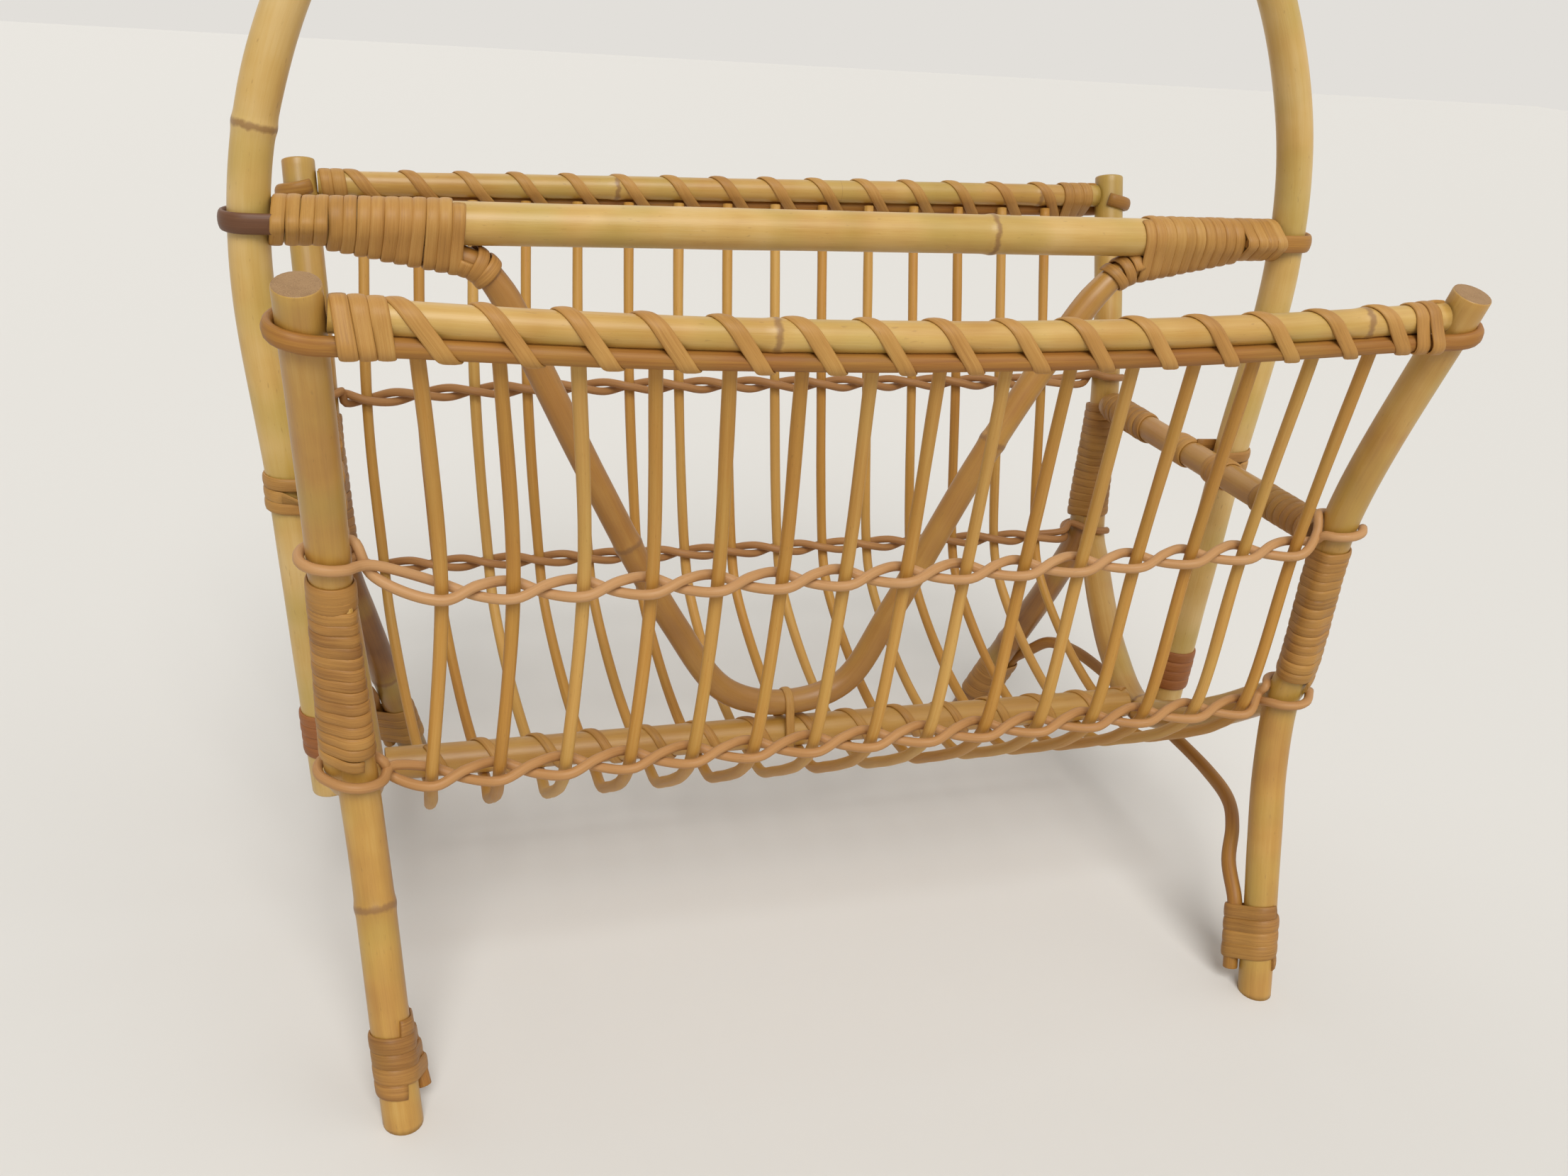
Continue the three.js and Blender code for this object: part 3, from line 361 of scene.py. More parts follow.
def caneMaterial(name, look):
    # the cane's own colour runs from its deepest tone to its palest; streaks, patches and flecks move it
    material, tree, shader = newMaterial(name)
    space = addNode(tree, "Attribute", attribute_name="caneSpace").outputs["Vector"]
    value = addNode(tree, "Attribute", attribute_name="caneTone").outputs["Fac"]
    joint = addNode(tree, "Attribute", attribute_name="caneJoint").outputs["Fac"]
    place = addNode(tree, "TexCoord").outputs["Object"]

    def stretched(length, width, detail):
        scale = (1 / (length * mm), 1 / (width * mm), 1 / (width * mm))
        shape = addNode(tree, "Mapping", {"Scale": scale}, {"Vector": space}).outputs[0]
        return addNode(tree, "TexNoise", {"Scale": 1, "Detail": detail, "Roughness": 0.6},
                       {"Vector": shape}).outputs["Fac"]

    def moved(value, source, amount):
        # noise lies about a half, so it moves the value both ways
        offset = addNode(tree, "Math", {1: 0.5}, {0: source}, operation="SUBTRACT").outputs[0]
        return addNode(tree, "Math", {1: amount}, {0: offset, 2: value}, operation="MULTIPLY_ADD").outputs[0]

    def painted(colour, over, source, fromMin, fromMax, toMin, toMax):
        # another colour lies over this one where the source says so
        limits = {"From Min": fromMin, "From Max": fromMax, "To Min": toMin, "To Max": toMax}
        share = addNode(tree, "MapRange", limits, {"Value": source}).outputs[0]
        return addNode(tree, "Mix", {7: linear(over)}, {0: share, 6: colour}, data_type="RGBA").outputs[2]

    patterns = {}
    for key, detail in (("streak", 3), ("fibre", 2), ("band", 1)):
        length, width, amount = look[key]
        patterns[key] = stretched(length, width, detail)
        value = moved(value, patterns[key], amount)
    size, amount = look["patch"]
    patch = addNode(tree, "TexNoise", {"Scale": 1 / (size * mm), "Detail": 2}, {"Vector": place})
    value = moved(value, patch.outputs["Fac"], amount)
    colour = addNode(tree, "ValToRGB", links={"Fac": value}, stops=look["colours"]).outputs["Color"]

    # olive bloom that the skin keeps in places
    if look["bloom"]:
        bloom = addNode(tree, "TexNoise", {"Scale": 1 / (look["bloomSize"] * mm), "Detail": 1}, {"Vector": place})
        colour = painted(colour, look["bloomColour"], bloom.outputs["Fac"], *look["bloomRange"], 0, look["bloom"])

    # brown scar where a leaf sheath left the cane, ragged along its edge
    length, ragged, full, faded, amount = look["scar"]
    edge = moved(joint, stretched(length, ragged, 2), ragged * mm)
    near = addNode(tree, "Math", links={0: edge}, operation="ABSOLUTE").outputs[0]
    colour = painted(colour, look["scarColour"], near, full * mm, faded * mm, amount, 0)

    # small dark flecks, longer than wide
    length, width, amount = look["fleck"]
    colour = painted(colour, look["fleckColour"], stretched(length, width, 1), *look["fleckRange"], 0, amount)

    # the streaks are a little rougher than the skin between them
    limits = {"From Min": 0.3, "From Max": 0.7, "To Min": look["roughness"] - look["smoother"],
              "To Max": look["roughness"] + look["rougher"]}
    rough = addNode(tree, "MapRange", limits, {"Value": patterns["streak"]}).outputs[0]
    relief = moved(patterns["fibre"], patterns["streak"], look["streakRelief"])
    bump = addNode(tree, "Bump", {"Strength": look["bump"], "Distance": look["relief"] * mm}, {"Height": relief})
    setNode(tree, shader, {"Specular IOR Level": look["specular"], "Coat Weight": look["coat"],
                           "Coat Roughness": look["coatRoughness"]},
            {"Base Color": colour, "Roughness": rough, "Normal": bump.outputs["Normal"]})
    return material


# Rattan pole with its skin on, bent by steam and varnished: satin, straw to olive tan, long pale streaks
poleLook = {
    "colours": [(0.0, "#452a12"), (0.2, "#744a1e"), (0.4, "#9d6c2a"), (0.55, "#b3863a"), (0.7, "#c49e56"),
                (0.85, "#d0b176"), (1.0, "#dfc898")],
    # length, width and amount of a pattern, and size and amount of the patches
    "streak": (110, 4.5, 0.24), "fibre": (14, 0.5, 0.1), "band": (40, 400, 0.14), "patch": (26, 0.32),
    "bloom": 0.5, "bloomRange": (0.45, 0.7), "bloomSize": 34, "bloomColour": "#a9923f",
    # length of the ragged edge, its depth, where the scar is full, where it has faded, amount
    "scar": (6, 3.2, 0.7, 1.9, 0.75), "scarColour": "#80582c",
    "fleck": (5, 1.3, 0.3), "fleckRange": (0.7, 0.78), "fleckColour": "#7a5628",
    "roughness": 0.44, "smoother": 0.06, "rougher": 0.08, "bump": 0.3, "relief": 0.25, "streakRelief": 0.8,
    "coat": 0.32, "coatRoughness": 0.34, "specular": 0.5,
}
# Pole with its skin scraped, of the divider and the bars between the frames: browner, hardly any olive left
tanLook = dict(poleLook, **{"bloom": 0.14, "bloomColour": "#ab8440", "patch": (26, 0.2)})
# Round core reed, drawn through a die, so the fibres show end to end: dull satin, honey to orange
coreLook = dict(poleLook, **{
    "colours": [(0.0, "#523310"), (0.25, "#8c5a24"), (0.5, "#b38037"), (0.75, "#c69d57"), (1.0, "#dabe86")],
    "streak": (60, 1.1, 0.28), "fibre": (18, 0.35, 0.16), "band": (90, 400, 0.1), "patch": (90, 0.2),
    "bloom": 0.12, "fleck": (4, 0.5, 0.35), "roughness": 0.52, "coat": 0.08, "specular": 0.3,
})
# Reed of the braids, soaked and twined damp: duller and a little pink
braidLook = dict(coreLook, **{
    "colours": [(0.0, "#4f321a"), (0.25, "#86582f"), (0.5, "#ae7f4c"), (0.75, "#c3996c"), (1.0, "#d6b890")],
    "streak": (60, 1.1, 0.25), "bloom": 0, "roughness": 0.56,
})
# Split cane, the skin of the rattan pared to a flat band: fine fibres, a dull satin, each turn its own shade
splitLook = dict(poleLook, **{
    "colours": [(0.0, "#3c240c"), (0.25, "#7b5022"), (0.5, "#ad7d3e"), (0.72, "#c29755"), (1.0, "#d9b87e")],
    "streak": (40, 0.9, 0.3), "fibre": (12, 0.28, 0.22), "band": (34, 400, 0.42), "patch": (50, 0.15),
    "bloom": 0.1, "fleck": (5, 0.3, 0.55), "roughness": 0.52, "coat": 0.08, "specular": 0.3, "relief": 0.3,
    "bump": 0.5,
})
# Split cane stained red-brown on the handle's feet
redLook = dict(splitLook, **{
    "colours": [(0.0, "#3b210f"), (0.3, "#76431f"), (0.6, "#9c6232"), (1.0, "#bd8a54")],
    "bloom": 0,
})
# Dark smoked core cane, round the handle at the centre bar
darkLook = dict(coreLook, **{
    "colours": [(0.0, "#2c190c"), (0.4, "#573620"), (0.7, "#765036"), (1.0, "#94704f")],
    "bloom": 0, "roughness": 0.48,
})
# End grain: sawn cane with open pores, dusty and matt
endLook = {
    "pore": 0.17, "dust": 4, "leastDepth": 0.1, "dark": (0.05, "#7b5d3d"), "pale": (0.42, "#9c7b55"),
    "bump": 0.5, "relief": 0.2, "roughness": 0.85,
}


def endGrainMaterial(name, look):
    material, tree, shader = newMaterial(name)
    place = addNode(tree, "TexCoord").outputs["Object"]
    pores = addNode(tree, "TexVoronoi", {"Scale": 1 / (look["pore"] * 2 * mm)}, {"Vector": place})
    dust = addNode(tree, "TexNoise", {"Scale": 1 / (look["dust"] * mm), "Detail": 3}, {"Vector": place})
    depth = addNode(tree, "Math", {2: look["leastDepth"]}, {0: pores.outputs["Distance"], 1: dust.outputs["Fac"]},
                    operation="MULTIPLY_ADD").outputs[0]
    colour = addNode(tree, "ValToRGB", links={"Fac": depth}, stops=[look["dark"], look["pale"]])
    bump = addNode(tree, "Bump", {"Strength": look["bump"], "Distance": look["relief"] * mm}, {"Height": depth})
    setNode(tree, shader, {"Roughness": look["roughness"]},
            {"Base Color": colour.outputs["Color"], "Normal": bump.outputs["Normal"]})
    return material


poleCane = caneMaterial("varnishedRattanPole", poleLook)
tanCane = caneMaterial("scrapedRattanPole", tanLook)
coreCane = caneMaterial("roundCoreReed", coreLook)
braidCane = caneMaterial("twinedReed", braidLook)
splitCane = caneMaterial("splitCane", splitLook)
redCane = caneMaterial("redStainedSplitCane", redLook)
darkCane = caneMaterial("smokedCoreCane", darkLook)
endGrain = endGrainMaterial("sawnCaneEnd", endLook)
print("materials made")


# end frames: a post on each side, joined by a keel that sags below the hem

endFrame = {
    "radius": 8, "top": (225, 152, 344.5), "waist": (220, 114, 234), "hem": (218, 105, 140),
    "keelHalfWidth": 208, "keelHeight": 78,
    "keelShares": [(0.8, 0.85, 0.8), (0.52, 0.64, 0.52), (0.22, 0.36, 0.22)],
    "backRightBow": {"waist": 2, "hem": 6}, "backLeftDrop": 5,
    "steps": 240, "joint": 330, "tones": {-1: 0.5, 1: 0.54},
}
hemHeight = endFrame["hem"][2]


def keelMiddle(side):
    return Vector((side * endFrame["keelHalfWidth"], 0, endFrame["keelHeight"]))


def endFrameHalf(side, wall):
    bow = endFrame["backRightBow"] if side > 0 and wall > 0 else {}
    keys = []
    for part in ("top", "waist", "hem"):
        x, y, z = endFrame[part]
        keys.append(Vector((side * (x + bow.get(part, 0)), wall * y, z)))
    if side < 0 and wall > 0:
        keys[0].z -= endFrame["backLeftDrop"]
    return keys + between(keelMiddle(side), keys[-1], endFrame["keelShares"])


def endFrameCourse(side):
    keys = endFrameHalf(side, -1) + [keelMiddle(side)] + endFrameHalf(side, 1)[::-1]
    return smoothCourse(keys, endFrame["steps"])


endFrames = {side: endFrameCourse(side) for side in leftRight}


def postAt(side, wall, height):
    middle = endFrame["steps"] // 2
    half = endFrames[side][:middle + 1] if wall < 0 else endFrames[side][:middle - 1:-1]
    return atHeight(half, height)


for side, word in leftRight.items():
    bendCane("endFrame", endFrames[side], endFrame["radius"], 24, poleCane, "pole_cane", "end_frame", (word,),
             bevel=0.8, tone=endFrame["tones"][side], seed=side + 3, joints=(endFrame["joint"],))
print("end frames bent")


# legs: splayed below the hem, pared to lie along the post above it

leg = {
    "radius": 8, "inward": 4.5, "outward": 5, "topHeight": 217,
    "footHalfWidth": {-1: 203, 1: 178}, "footHalfDepth": 151,
    "shares": [(0, 0, 0), (0.25, 0.28, 0.25), (0.5, 0.58, 0.5), (0.75, 0.86, 0.75), (1, 1, 1)],
    "postShares": (0.33, 0.67, 1),
    # the back legs take much darker tones than the front legs: painted shade, for the shadow that they stand in
    # under the basket
    "paring": 0.66, "tones": {(-1, -1): 0.51, (1, -1): 0.52, (-1, 1): 0.26, (1, 1): 0.3},
    "jointHeights": {(-1, -1): 86, (1, -1): 30, (-1, 1): 62, (1, 1): 55},
}


def legCourse(side, wall):
    offset = Vector((-side * leg["inward"], wall * leg["outward"], 0))
    foot = Vector((side * leg["footHalfWidth"][wall], wall * leg["footHalfDepth"], 0))
    keys = between(foot, postAt(side, wall, hemHeight) + offset, leg["shares"])
    heights = [mix(hemHeight, leg["topHeight"], share) for share in leg["postShares"]]
    return smoothCourse(keys + [postAt(side, wall, height) + offset for height in heights])


def legPared(height):
    return 1 - leg["paring"] * clamp((height - hemHeight) / (leg["topHeight"] - hemHeight))


legs = {(side, wall): legCourse(side, wall) for side, wall, where in corners}

for side, wall, where in corners:
    # the cane runs on past the floor and is cut there
    course = legs[side, wall]
    past = course[0] + (course[0] - course[4]).normalized() * leg["radius"]
    whole = [past] + course
    joint = distanceWhere(whole, lambda place: place.z >= leg["jointHeights"][side, wall])
    bendCane("leg", whole, leg["radius"], 24, poleCane, "pole_cane", "leg", where, floor=0,
             tone=leg["tones"][side, wall], joints=(joint,), seed=side + 2 * wall + 8,
             taper=lambda share, place: legPared(place.z), wobble=0.25)
print("legs stand")


# handle hoop, outside the end frames

handle = {
    "radius": 8.5, "halfWidth": 244, "springHeight": 325, "rise": 244, "archSteps": 12, "steps": 400, "tone": 0.72,
    "jointHeight": 372, "archJointShare": 0.58,
}
# the crossbars hold the handle's sides, so their place is needed here
crossbar = {"radius": 7, "height": 222, "tone": 0.46}
handleFoot = Vector((endFrame["keelHalfWidth"] + endFrame["radius"] + gap + handle["radius"], 0,
                     endFrame["keelHeight"] - endFrame["radius"]))
crossbarX = postAt(1, -1, crossbar["height"]).x
handleJoint = Vector((crossbarX + crossbar["radius"] + gap + handle["radius"], 0, crossbar["height"]))
mirrorX = Matrix.Scale(-1, 3, (1, 0, 0))


def archAt(share):
    way = facing(math.pi * share, -1)
    return Vector((handle["halfWidth"] * way.x, 0, handle["springHeight"] + handle["rise"] * way.y))


arch = sampled(handle["archSteps"], archAt)
handleKeys = [mirrorX @ handleFoot, mirrorX @ handleJoint] + arch + [handleJoint, handleFoot]
handleCourse = smoothCourse(handleKeys, handle["steps"])


def handleAt(side, height):
    return atHeight(handleCourse if side < 0 else handleCourse[::-1], height)


joints = (distanceWhere(handleCourse, lambda place: place.z >= handle["jointHeight"]),
          measured(handleCourse)[-1] * handle["archJointShare"])
bendCane("handleHoop", handleCourse, handle["radius"], 28, poleCane, "pole_cane", "handle_hoop",
         bevel=0.8, tone=handle["tone"], joints=joints, seed=1, wobble=0.3)
print("handle bent")


# centre bar, between the sides of the handle

centreBar = {"radius": 9, "height": 337, "tone": 0.68, "joint": 82}
barHandleX = handleAt(1, centreBar["height"]).x
barEnd = barHandleX - handle["radius"] - gap
end = Vector((barEnd, 0, centreBar["height"]))
course = straight(mirrorX @ end, end)
bendCane("centreBar", course, centreBar["radius"], 28, poleCane, "pole_cane", "centre_bar",
         tone=centreBar["tone"], joints=(barEnd + centreBar["joint"],), seed=2, swell=0.6)


# base bar on the floor of the basket, between the keels

baseBar = {"radius": 8, "height": 80.5, "joint": 250, "tone": 0.52}
baseEnd = endFrame["keelHalfWidth"] - endFrame["radius"] - gap
end = Vector((baseEnd, 0, baseBar["height"]))
course = straight(mirrorX @ end, end)
bendCane("baseBar", course, baseBar["radius"], 24, tanCane, "tan_cane", "base_bar", bevel=0.5,
         tone=baseBar["tone"], seed=4, joints=(baseBar["joint"],))


# divider: a bent brace from the centre bar down to the base bar and up again

divider = {
    "radius": 6.5, "inset": 88, "reach": 58, "endRise": 8, "lean": 6, "joints": (210, 520), "tones": (0.35, 0.48),
    "shares": [(0.2, 0.04), (0.365, 0.215), (0.61, 0.55), (0.79, 0.79), (0.92, 0.95)],
    "tailShare": 0.45, "tailGrowth": 4.6,
}


def bandStand(radius):
    # how far the corners of the solids' eight-sided windings stand out from a cane's axis
    return (radius + 2 * gap) / math.cos(math.pi / 8) + 1


dividerFoot = baseBar["height"] + bandStand(baseBar["radius"]) + gap + divider["radius"]
dividerTop = centreBar["height"] - centreBar["radius"] - gap - divider["radius"]
dividerHalf = handle["halfWidth"] - divider["inset"]


def dividerHalfKeys(side):
    keys = []
    for widthShare, riseShare in divider["shares"]:
        lean = 4 * riseShare * (1 - riseShare) * divider["lean"]
        keys.append(Vector((side * widthShare * dividerHalf - lean, 0, mix(dividerFoot, dividerTop, riseShare))))
    keys.append(Vector((side * dividerHalf, 0, dividerTop)))
    keys.append(Vector((side * (dividerHalf + divider["reach"]), 0, dividerTop + divider["endRise"])))
    return keys


def paredTail(share, place):
    return min(1, divider["tailShare"] + divider["tailGrowth"] * min(share, 1 - share))


dividerCourse = smoothCourse(dividerHalfKeys(-1)[::-1] + [Vector((0, 0, dividerFoot))] + dividerHalfKeys(1), 300)
bendCane("dividerBrace", dividerCourse, divider["radius"], 22, tanCane, "tan_cane", "divider_brace",
         tone=lambda share: mix(*divider["tones"], share), seed=5, taper=paredTail, joints=divider["joints"])
print("centre bar, base bar and divider made")


# rims: a pole between the posts, a rod under its outer side, and a spiral of split cane

rim = {
    "height": 334, "radius": 6, "frontSag": 8, "endLength": 27.4, "joints": (150, 395), "tone": {-1: 0.62, 1: 0.6},
    "rodRadius": 3.5, "rodAngle": 0.35, "rodSwing": 18, "rodTone": 0.3, "rodPared": 0.6, "rodParedWithin": 17,
    "rodParedOver": 5, "rodLoopShares": (0.6, -0.66), "rodLoopSteps": 12,
}
spiral = {
    "width": 5.9, "tightWidth": 6.1, "thickness": 1.15, "tightPitch": 5.9, "leftTurns": {-1: 3, 1: 2},
    "rightTurns": {-1: 2, 1: 3}, "endSpace": 3.4, "lead": 0.8, "slantOpen": 0.66, "slantLast": 0.85,
    "slantTight": 0.5, "openAfter": 8, "openBefore": 12, "tone": 0.52,
}
stakeCount = 15
stake = {
    "radius": 2.7, "inset": {"waist": 31, "hem": 29, "keel": 19}, "keelLean": 9,
    "lean": {-1: {"rim": 0, "waist": 9, "hem": 4}, 1: {"rim": -6, "waist": -9, "hem": -4}},
    "shares": {-1: [(0.84, 0.84, 0.7), (0.65, 0.65, 0.47), (0.46, 0.46, 0.27), (0.25, 0.25, 0.07)],
               1: [(0.92, 0.92, 0.75), (0.75, 0.75, 0.5), (0.47, 0.47, 0.22), (0.2, 0.2, 0.05)]},
    "tones": [0.56, 0.47, 0.66, 0.54, 0.57, 0.52, 0.59, 0.55, 0.64, 0.5, 0.6, 0.54, 0.49, 0.6, 0.52],
}
rimPost = postAt(1, -1, rim["height"])
rimHalf = rimPost.x - endFrame["radius"] - gap
stakeSpan = rimHalf - rim["endLength"]
stakePitch = 2 * stakeSpan / (stakeCount - 1)


def stakeTopX(wall, index):
    return mix(-stakeSpan, stakeSpan, index / (stakeCount - 1)) + stake["lean"][wall]["rim"]


def bow(x, span):
    return 1 - (x / span) ** 2


def rimAt(wall, x):
    # the front rim sags in its middle, the back one hangs at its left end
    leftShare = (rimHalf - x) / (2 * rimHalf)
    drop = rim["frontSag"] * bow(x, rimHalf) if wall < 0 else endFrame["backLeftDrop"] * leftShare
    return Vector((x, wall * abs(rimPost.y), rim["height"] - drop))


rodOffset = rim["radius"] + rim["rodRadius"] - gap
rodDrop = rodOffset * math.cos(rim["rodAngle"])
rodOut = rodOffset * math.sin(rim["rodAngle"])
rodEndOut = math.sqrt((endFrame["radius"] + rim["rodRadius"] + 2 * gap) ** 2 - (endFrame["radius"] + gap) ** 2)


def rodOutAt(x):
    share = max((abs(x) - rimHalf + rim["rodSwing"]) / rim["rodSwing"], 0)
    return mix(rodOut, rodEndOut, share)


def spiralCrossings(wall):
    # where each turn begins, and its slant: the share of the way to the next that its first half covers
    left, right = spiral["leftTurns"][wall], spiral["rightTurns"][wall]
    end = rimHalf - spiral["endSpace"]
    places = [i * spiral["tightPitch"] - end for i in range(left + 1)]
    places += [stakeTopX(wall, i) + spiral["lead"] * stakePitch for i in range(stakeCount - 1)]
    places += [end - i * spiral["tightPitch"] for i in range(right, -1, -1)]
    slants = [spiral["slantTight"]] * left + [spiral["slantOpen"]] * (stakeCount - 1) + [spiral["slantLast"]]
    return list(zip(places, slants + [spiral["slantTight"]] * (right + 1)))


for wall, word in frontBack.items():
    course = sampled(80, lambda share: rimAt(wall, mix(-rimHalf, rimHalf, share)))
    bendCane("rim", course, rim["radius"], 22, poleCane, "tan_cane", "rim", (word,),
             tone=rim["tone"][wall], seed=6 + wall, joints=rim["joints"])

    def rodAt(x):
        return rimAt(wall, x) + Vector((0, wall * rodOutAt(x), -rodDrop))

    def rodLoop(side):
        def loopAt(share):
            post = postAt(side, wall, rimAt(wall, side * rimHalf).z - rodDrop * (1 - share))
            reach = endFrame["radius"] + rim["rodRadius"] * rim["rodPared"] + gap
            return post + facing(mix(*rim["rodLoopShares"], share) * math.pi, side, wall) * reach
        return sampled(rim["rodLoopSteps"], loopAt)

    def rodPress(place):
        side = -1 if place.x < 0 else 1
        away = (place - postAt(side, wall, place.z)) * Vector((1, 1, 0))
        near = clamp((rim["rodParedWithin"] - away.length) / rim["rodParedOver"])
        out = Vector((0, wall, 0)).lerp(away.normalized(), near)
        return out.normalized(), mix(1, rim["rodPared"], near)

    middle = sampled(30, lambda share: rodAt(mix(-1, 1, share) * rimHalf))
    course = smoothCourse(rodLoop(-1)[::-1] + middle[1:-1] + rodLoop(1), 360)
    bendCane("rimRod", course, rim["rodRadius"], 14, coreCane, "rod_cane", "rim_rod", (word,),
             spacing=3, tone=rim["rodTone"], seed=9 + wall, wobble=0.1, press=rodPress)

    crossings = spiralCrossings(wall)
    turns = len(crossings) - 1
    first, last = crossings[0][0], crossings[-1][0]
    openFrom = crossings[spiral["leftTurns"][wall]][0] + spiral["openAfter"]
    openTo = crossings[turns - spiral["rightTurns"][wall]][0] - spiral["openBefore"]

    def spiralAdvance(turn):
        whole = min(int(turn), turns - 1)
        part = turn - whole
        x, slant = crossings[whole]
        run = 2 * part * slant if part < 0.5 else mix(slant, 1, 2 * part - 1)
        return (mix(x, crossings[whole + 1][0], run) - first) / (last - first)

    def rimBundle(share):
        x = mix(first, last, share)
        circles = [(0, 0, rim["radius"]), (wall * rodOutAt(x), -rodDrop, rim["rodRadius"])]
        return rimAt(wall, x), xWay, yWay, circles, spiral["width" if openFrom < x < openTo else "tightWidth"]

    windBand("rimSpiral", rimBundle, dict(spiral, turns=turns), math.pi / 2, 1, "rim_binding", (word,), steps=36,
             advance=spiralAdvance, seed=12 + wall)
print("rims bound")


# stakes: from the front rim under the base bar to the back rim

# how far each braid lies below and inside the frame's waist or hem
plainBraid = {"drop": 0, "inward": 0, "sag": 0, "leftDroop": 0, "loopDrop": {-1: 0, 1: 0}, "loopRise": 6}
braid = {
    "radius": 2.1, "endCross": 0.77, "droopPower": 9, "loopSpace": 0.5,
    "loopShares": [0.875, 0.7, 0.5, 0.3, 0.125],
    (-1, "waist"): dict(plainBraid, drop=13, sag=4, loopDrop={-1: 1, 1: 8}, loopRise=8, tone=0.6),
    (-1, "hem"): dict(plainBraid, drop=4, inward=-3, tone=0.5),
    (1, "waist"): dict(plainBraid, drop=1, leftDroop=11, loopDrop={-1: 5, 1: 0}, loopRise=4.5, tone=0.42),
    (1, "hem"): dict(plainBraid, inward=2, tone=0.4),
}
stakeFoot = baseBar["height"] - baseBar["radius"] - gap - stake["radius"]
stakeTopDrop = rim["radius"] + gap + stake["radius"] / 3
stakeTopIn = rim["rodRadius"] + stake["radius"] + gap - rodOut


def stakeAcross(index, part):
    width = endFrame["keelHalfWidth"] if part == "keel" else endFrame[part][0]
    span = width - stake["inset"][part]
    return mix(-span, span, index / (stakeCount - 1))


def stakeBase(index):
    return Vector((stakeAcross(index, "keel") + stake["keelLean"], 0, stakeFoot))


def stakeAt(wall, index, part):
    place = braid[wall, part]
    width, depth, height = endFrame[part]
    x = stakeAcross(index, part)
    leftShare = (width - x) / (2 * width)
    height -= place["drop"] + place["sag"] * bow(x, width) + place["leftDroop"] * leftShare ** braid["droopPower"]
    return Vector((x + stake["lean"][wall][part], wall * (depth - place["inward"]), height))


def stakeHalf(wall, index):
    hem = stakeAt(wall, index, "hem")
    top = rimAt(wall, stakeTopX(wall, index)) + Vector((0, -wall * stakeTopIn, -stakeTopDrop))
    return [top, stakeAt(wall, index, "waist"), hem] + between(stakeBase(index), hem, stake["shares"][wall])


for index in range(stakeCount):
    course = smoothCourse(stakeHalf(-1, index) + [stakeBase(index)] + stakeHalf(1, index)[::-1], 200)
    bendCane("stake", course, stake["radius"], 12, coreCane, "stake_cane", "stake", ("%02d" % (index + 1),), False,
             tone=stake["tones"][index], seed=20 + index, wobble=0.2)
print("stakes set")


# braids: one strand folded round the left post, its halves twined about the stakes

wallLean = math.atan2(endFrame["top"][1] - endFrame["hem"][1], endFrame["top"][2] - hemHeight)


def braidKeys(wall, part):
    place = braid[wall, part]
    isHem = part == "hem"
    out = Vector((0, wall * math.cos(wallLean), -math.sin(wallLean)))
    up = Vector((0, wall * math.sin(wallLean), math.cos(wallLean)))
    beside = stake["radius"] + 3 * gap + braid["radius"]
    over = braid["radius"] + gap

    def loopHeight(side):
        return endFrame[part][2] - place["loopDrop"][side]

    def loopPoint(side, share):
        height = loopHeight(side) + place["loopRise"] * (1 - share) / 2
        circles = [(0, 0, endFrame["radius"])]
        if isHem:
            circles.append((-side * leg["inward"], wall * leg["outward"], leg["radius"]))
        way = facing(share * math.pi, side, wall)
        u, v = hullPoint(circles, math.atan2(way.y, way.x), braid["radius"] + braid["loopSpace"])
        return postAt(side, wall, height) + Vector((u, v, 0))

    def postEdge(side):
        post = postAt(side, wall, loopHeight(side))
        return post - Vector((side * (endFrame["radius"] + (leg["inward"] if isHem else 0)), 0, 0))

    def half(phase):
        points = []
        for i in range(stakeCount):
            at = stakeAt(wall, i, part)
            outside = -phase if i % 2 == 0 else phase
            before = postEdge(-1) if i == 0 else stakeAt(wall, i - 1, part)
            points.append(at.lerp(before, braid["endCross"] if i == 0 else 0.5) - up * over * outside)
            points.append(at + out * beside * outside)
            if i == stakeCount - 1:
                points.append(at.lerp(postEdge(1), braid["endCross"]) + up * over * outside)
        return points

    outer = braid["loopShares"]
    inner = [-share for share in outer]
    leftLoop = [loopPoint(-1, share) for share in outer + inner[::-1]]
    rightOuter = [loopPoint(1, share) for share in outer]
    rightInner = [loopPoint(1, share) for share in inner[:-1]]
    return rightOuter[::-1] + half(1)[::-1] + leftLoop + half(-1) + rightInner


for wall, word in frontBack.items():
    for part in ("waist", "hem"):
        bendCane(part + "Braid", smoothCourse(braidKeys(wall, part), 900), braid["radius"], 12, braidCane,
                 "strand_cane", part + "_braid", (word,), spacing=2.2, tone=braid[wall, part]["tone"],
                 seed=40 + wall + len(part), wobble=0.12)
print("braids twined")


# crossbars inside the handle, and their bindings

crossbarHalf = -postAt(1, -1, crossbar["height"]).y - bandStand(endFrame["radius"]) - gap
for side, word in leftRight.items():
    ends = [Vector((side * crossbarX, y, crossbar["height"])) for y in (-crossbarHalf, crossbarHalf)]
    course = straight(*ends, 40)
    bendCane("crossbar", course, crossbar["radius"], 22, tanCane, "tan_cane", "crossbar", (word,),
             bevel=0.6, tone=crossbar["tone"], seed=50 + side)

crossbarWrap = {"width": 5.7, "turns": 8.3, "fromEnd": 3, "length": 44, "tone": 0.42}
for side, wall, where in corners:
    def crossbarBundle(share):
        y = wall * (crossbarHalf - crossbarWrap["fromEnd"] - share * crossbarWrap["length"])
        return Vector((side * crossbarX, y, crossbar["height"])), -yWay, xWay, [(0, 0, crossbar["radius"])]
    windBand("crossbarWrap", crossbarBundle, crossbarWrap, -math.pi / 2, 1, "crossbar_lashing", where,
             seed=52 + side + 2 * wall, tilt=0.5)


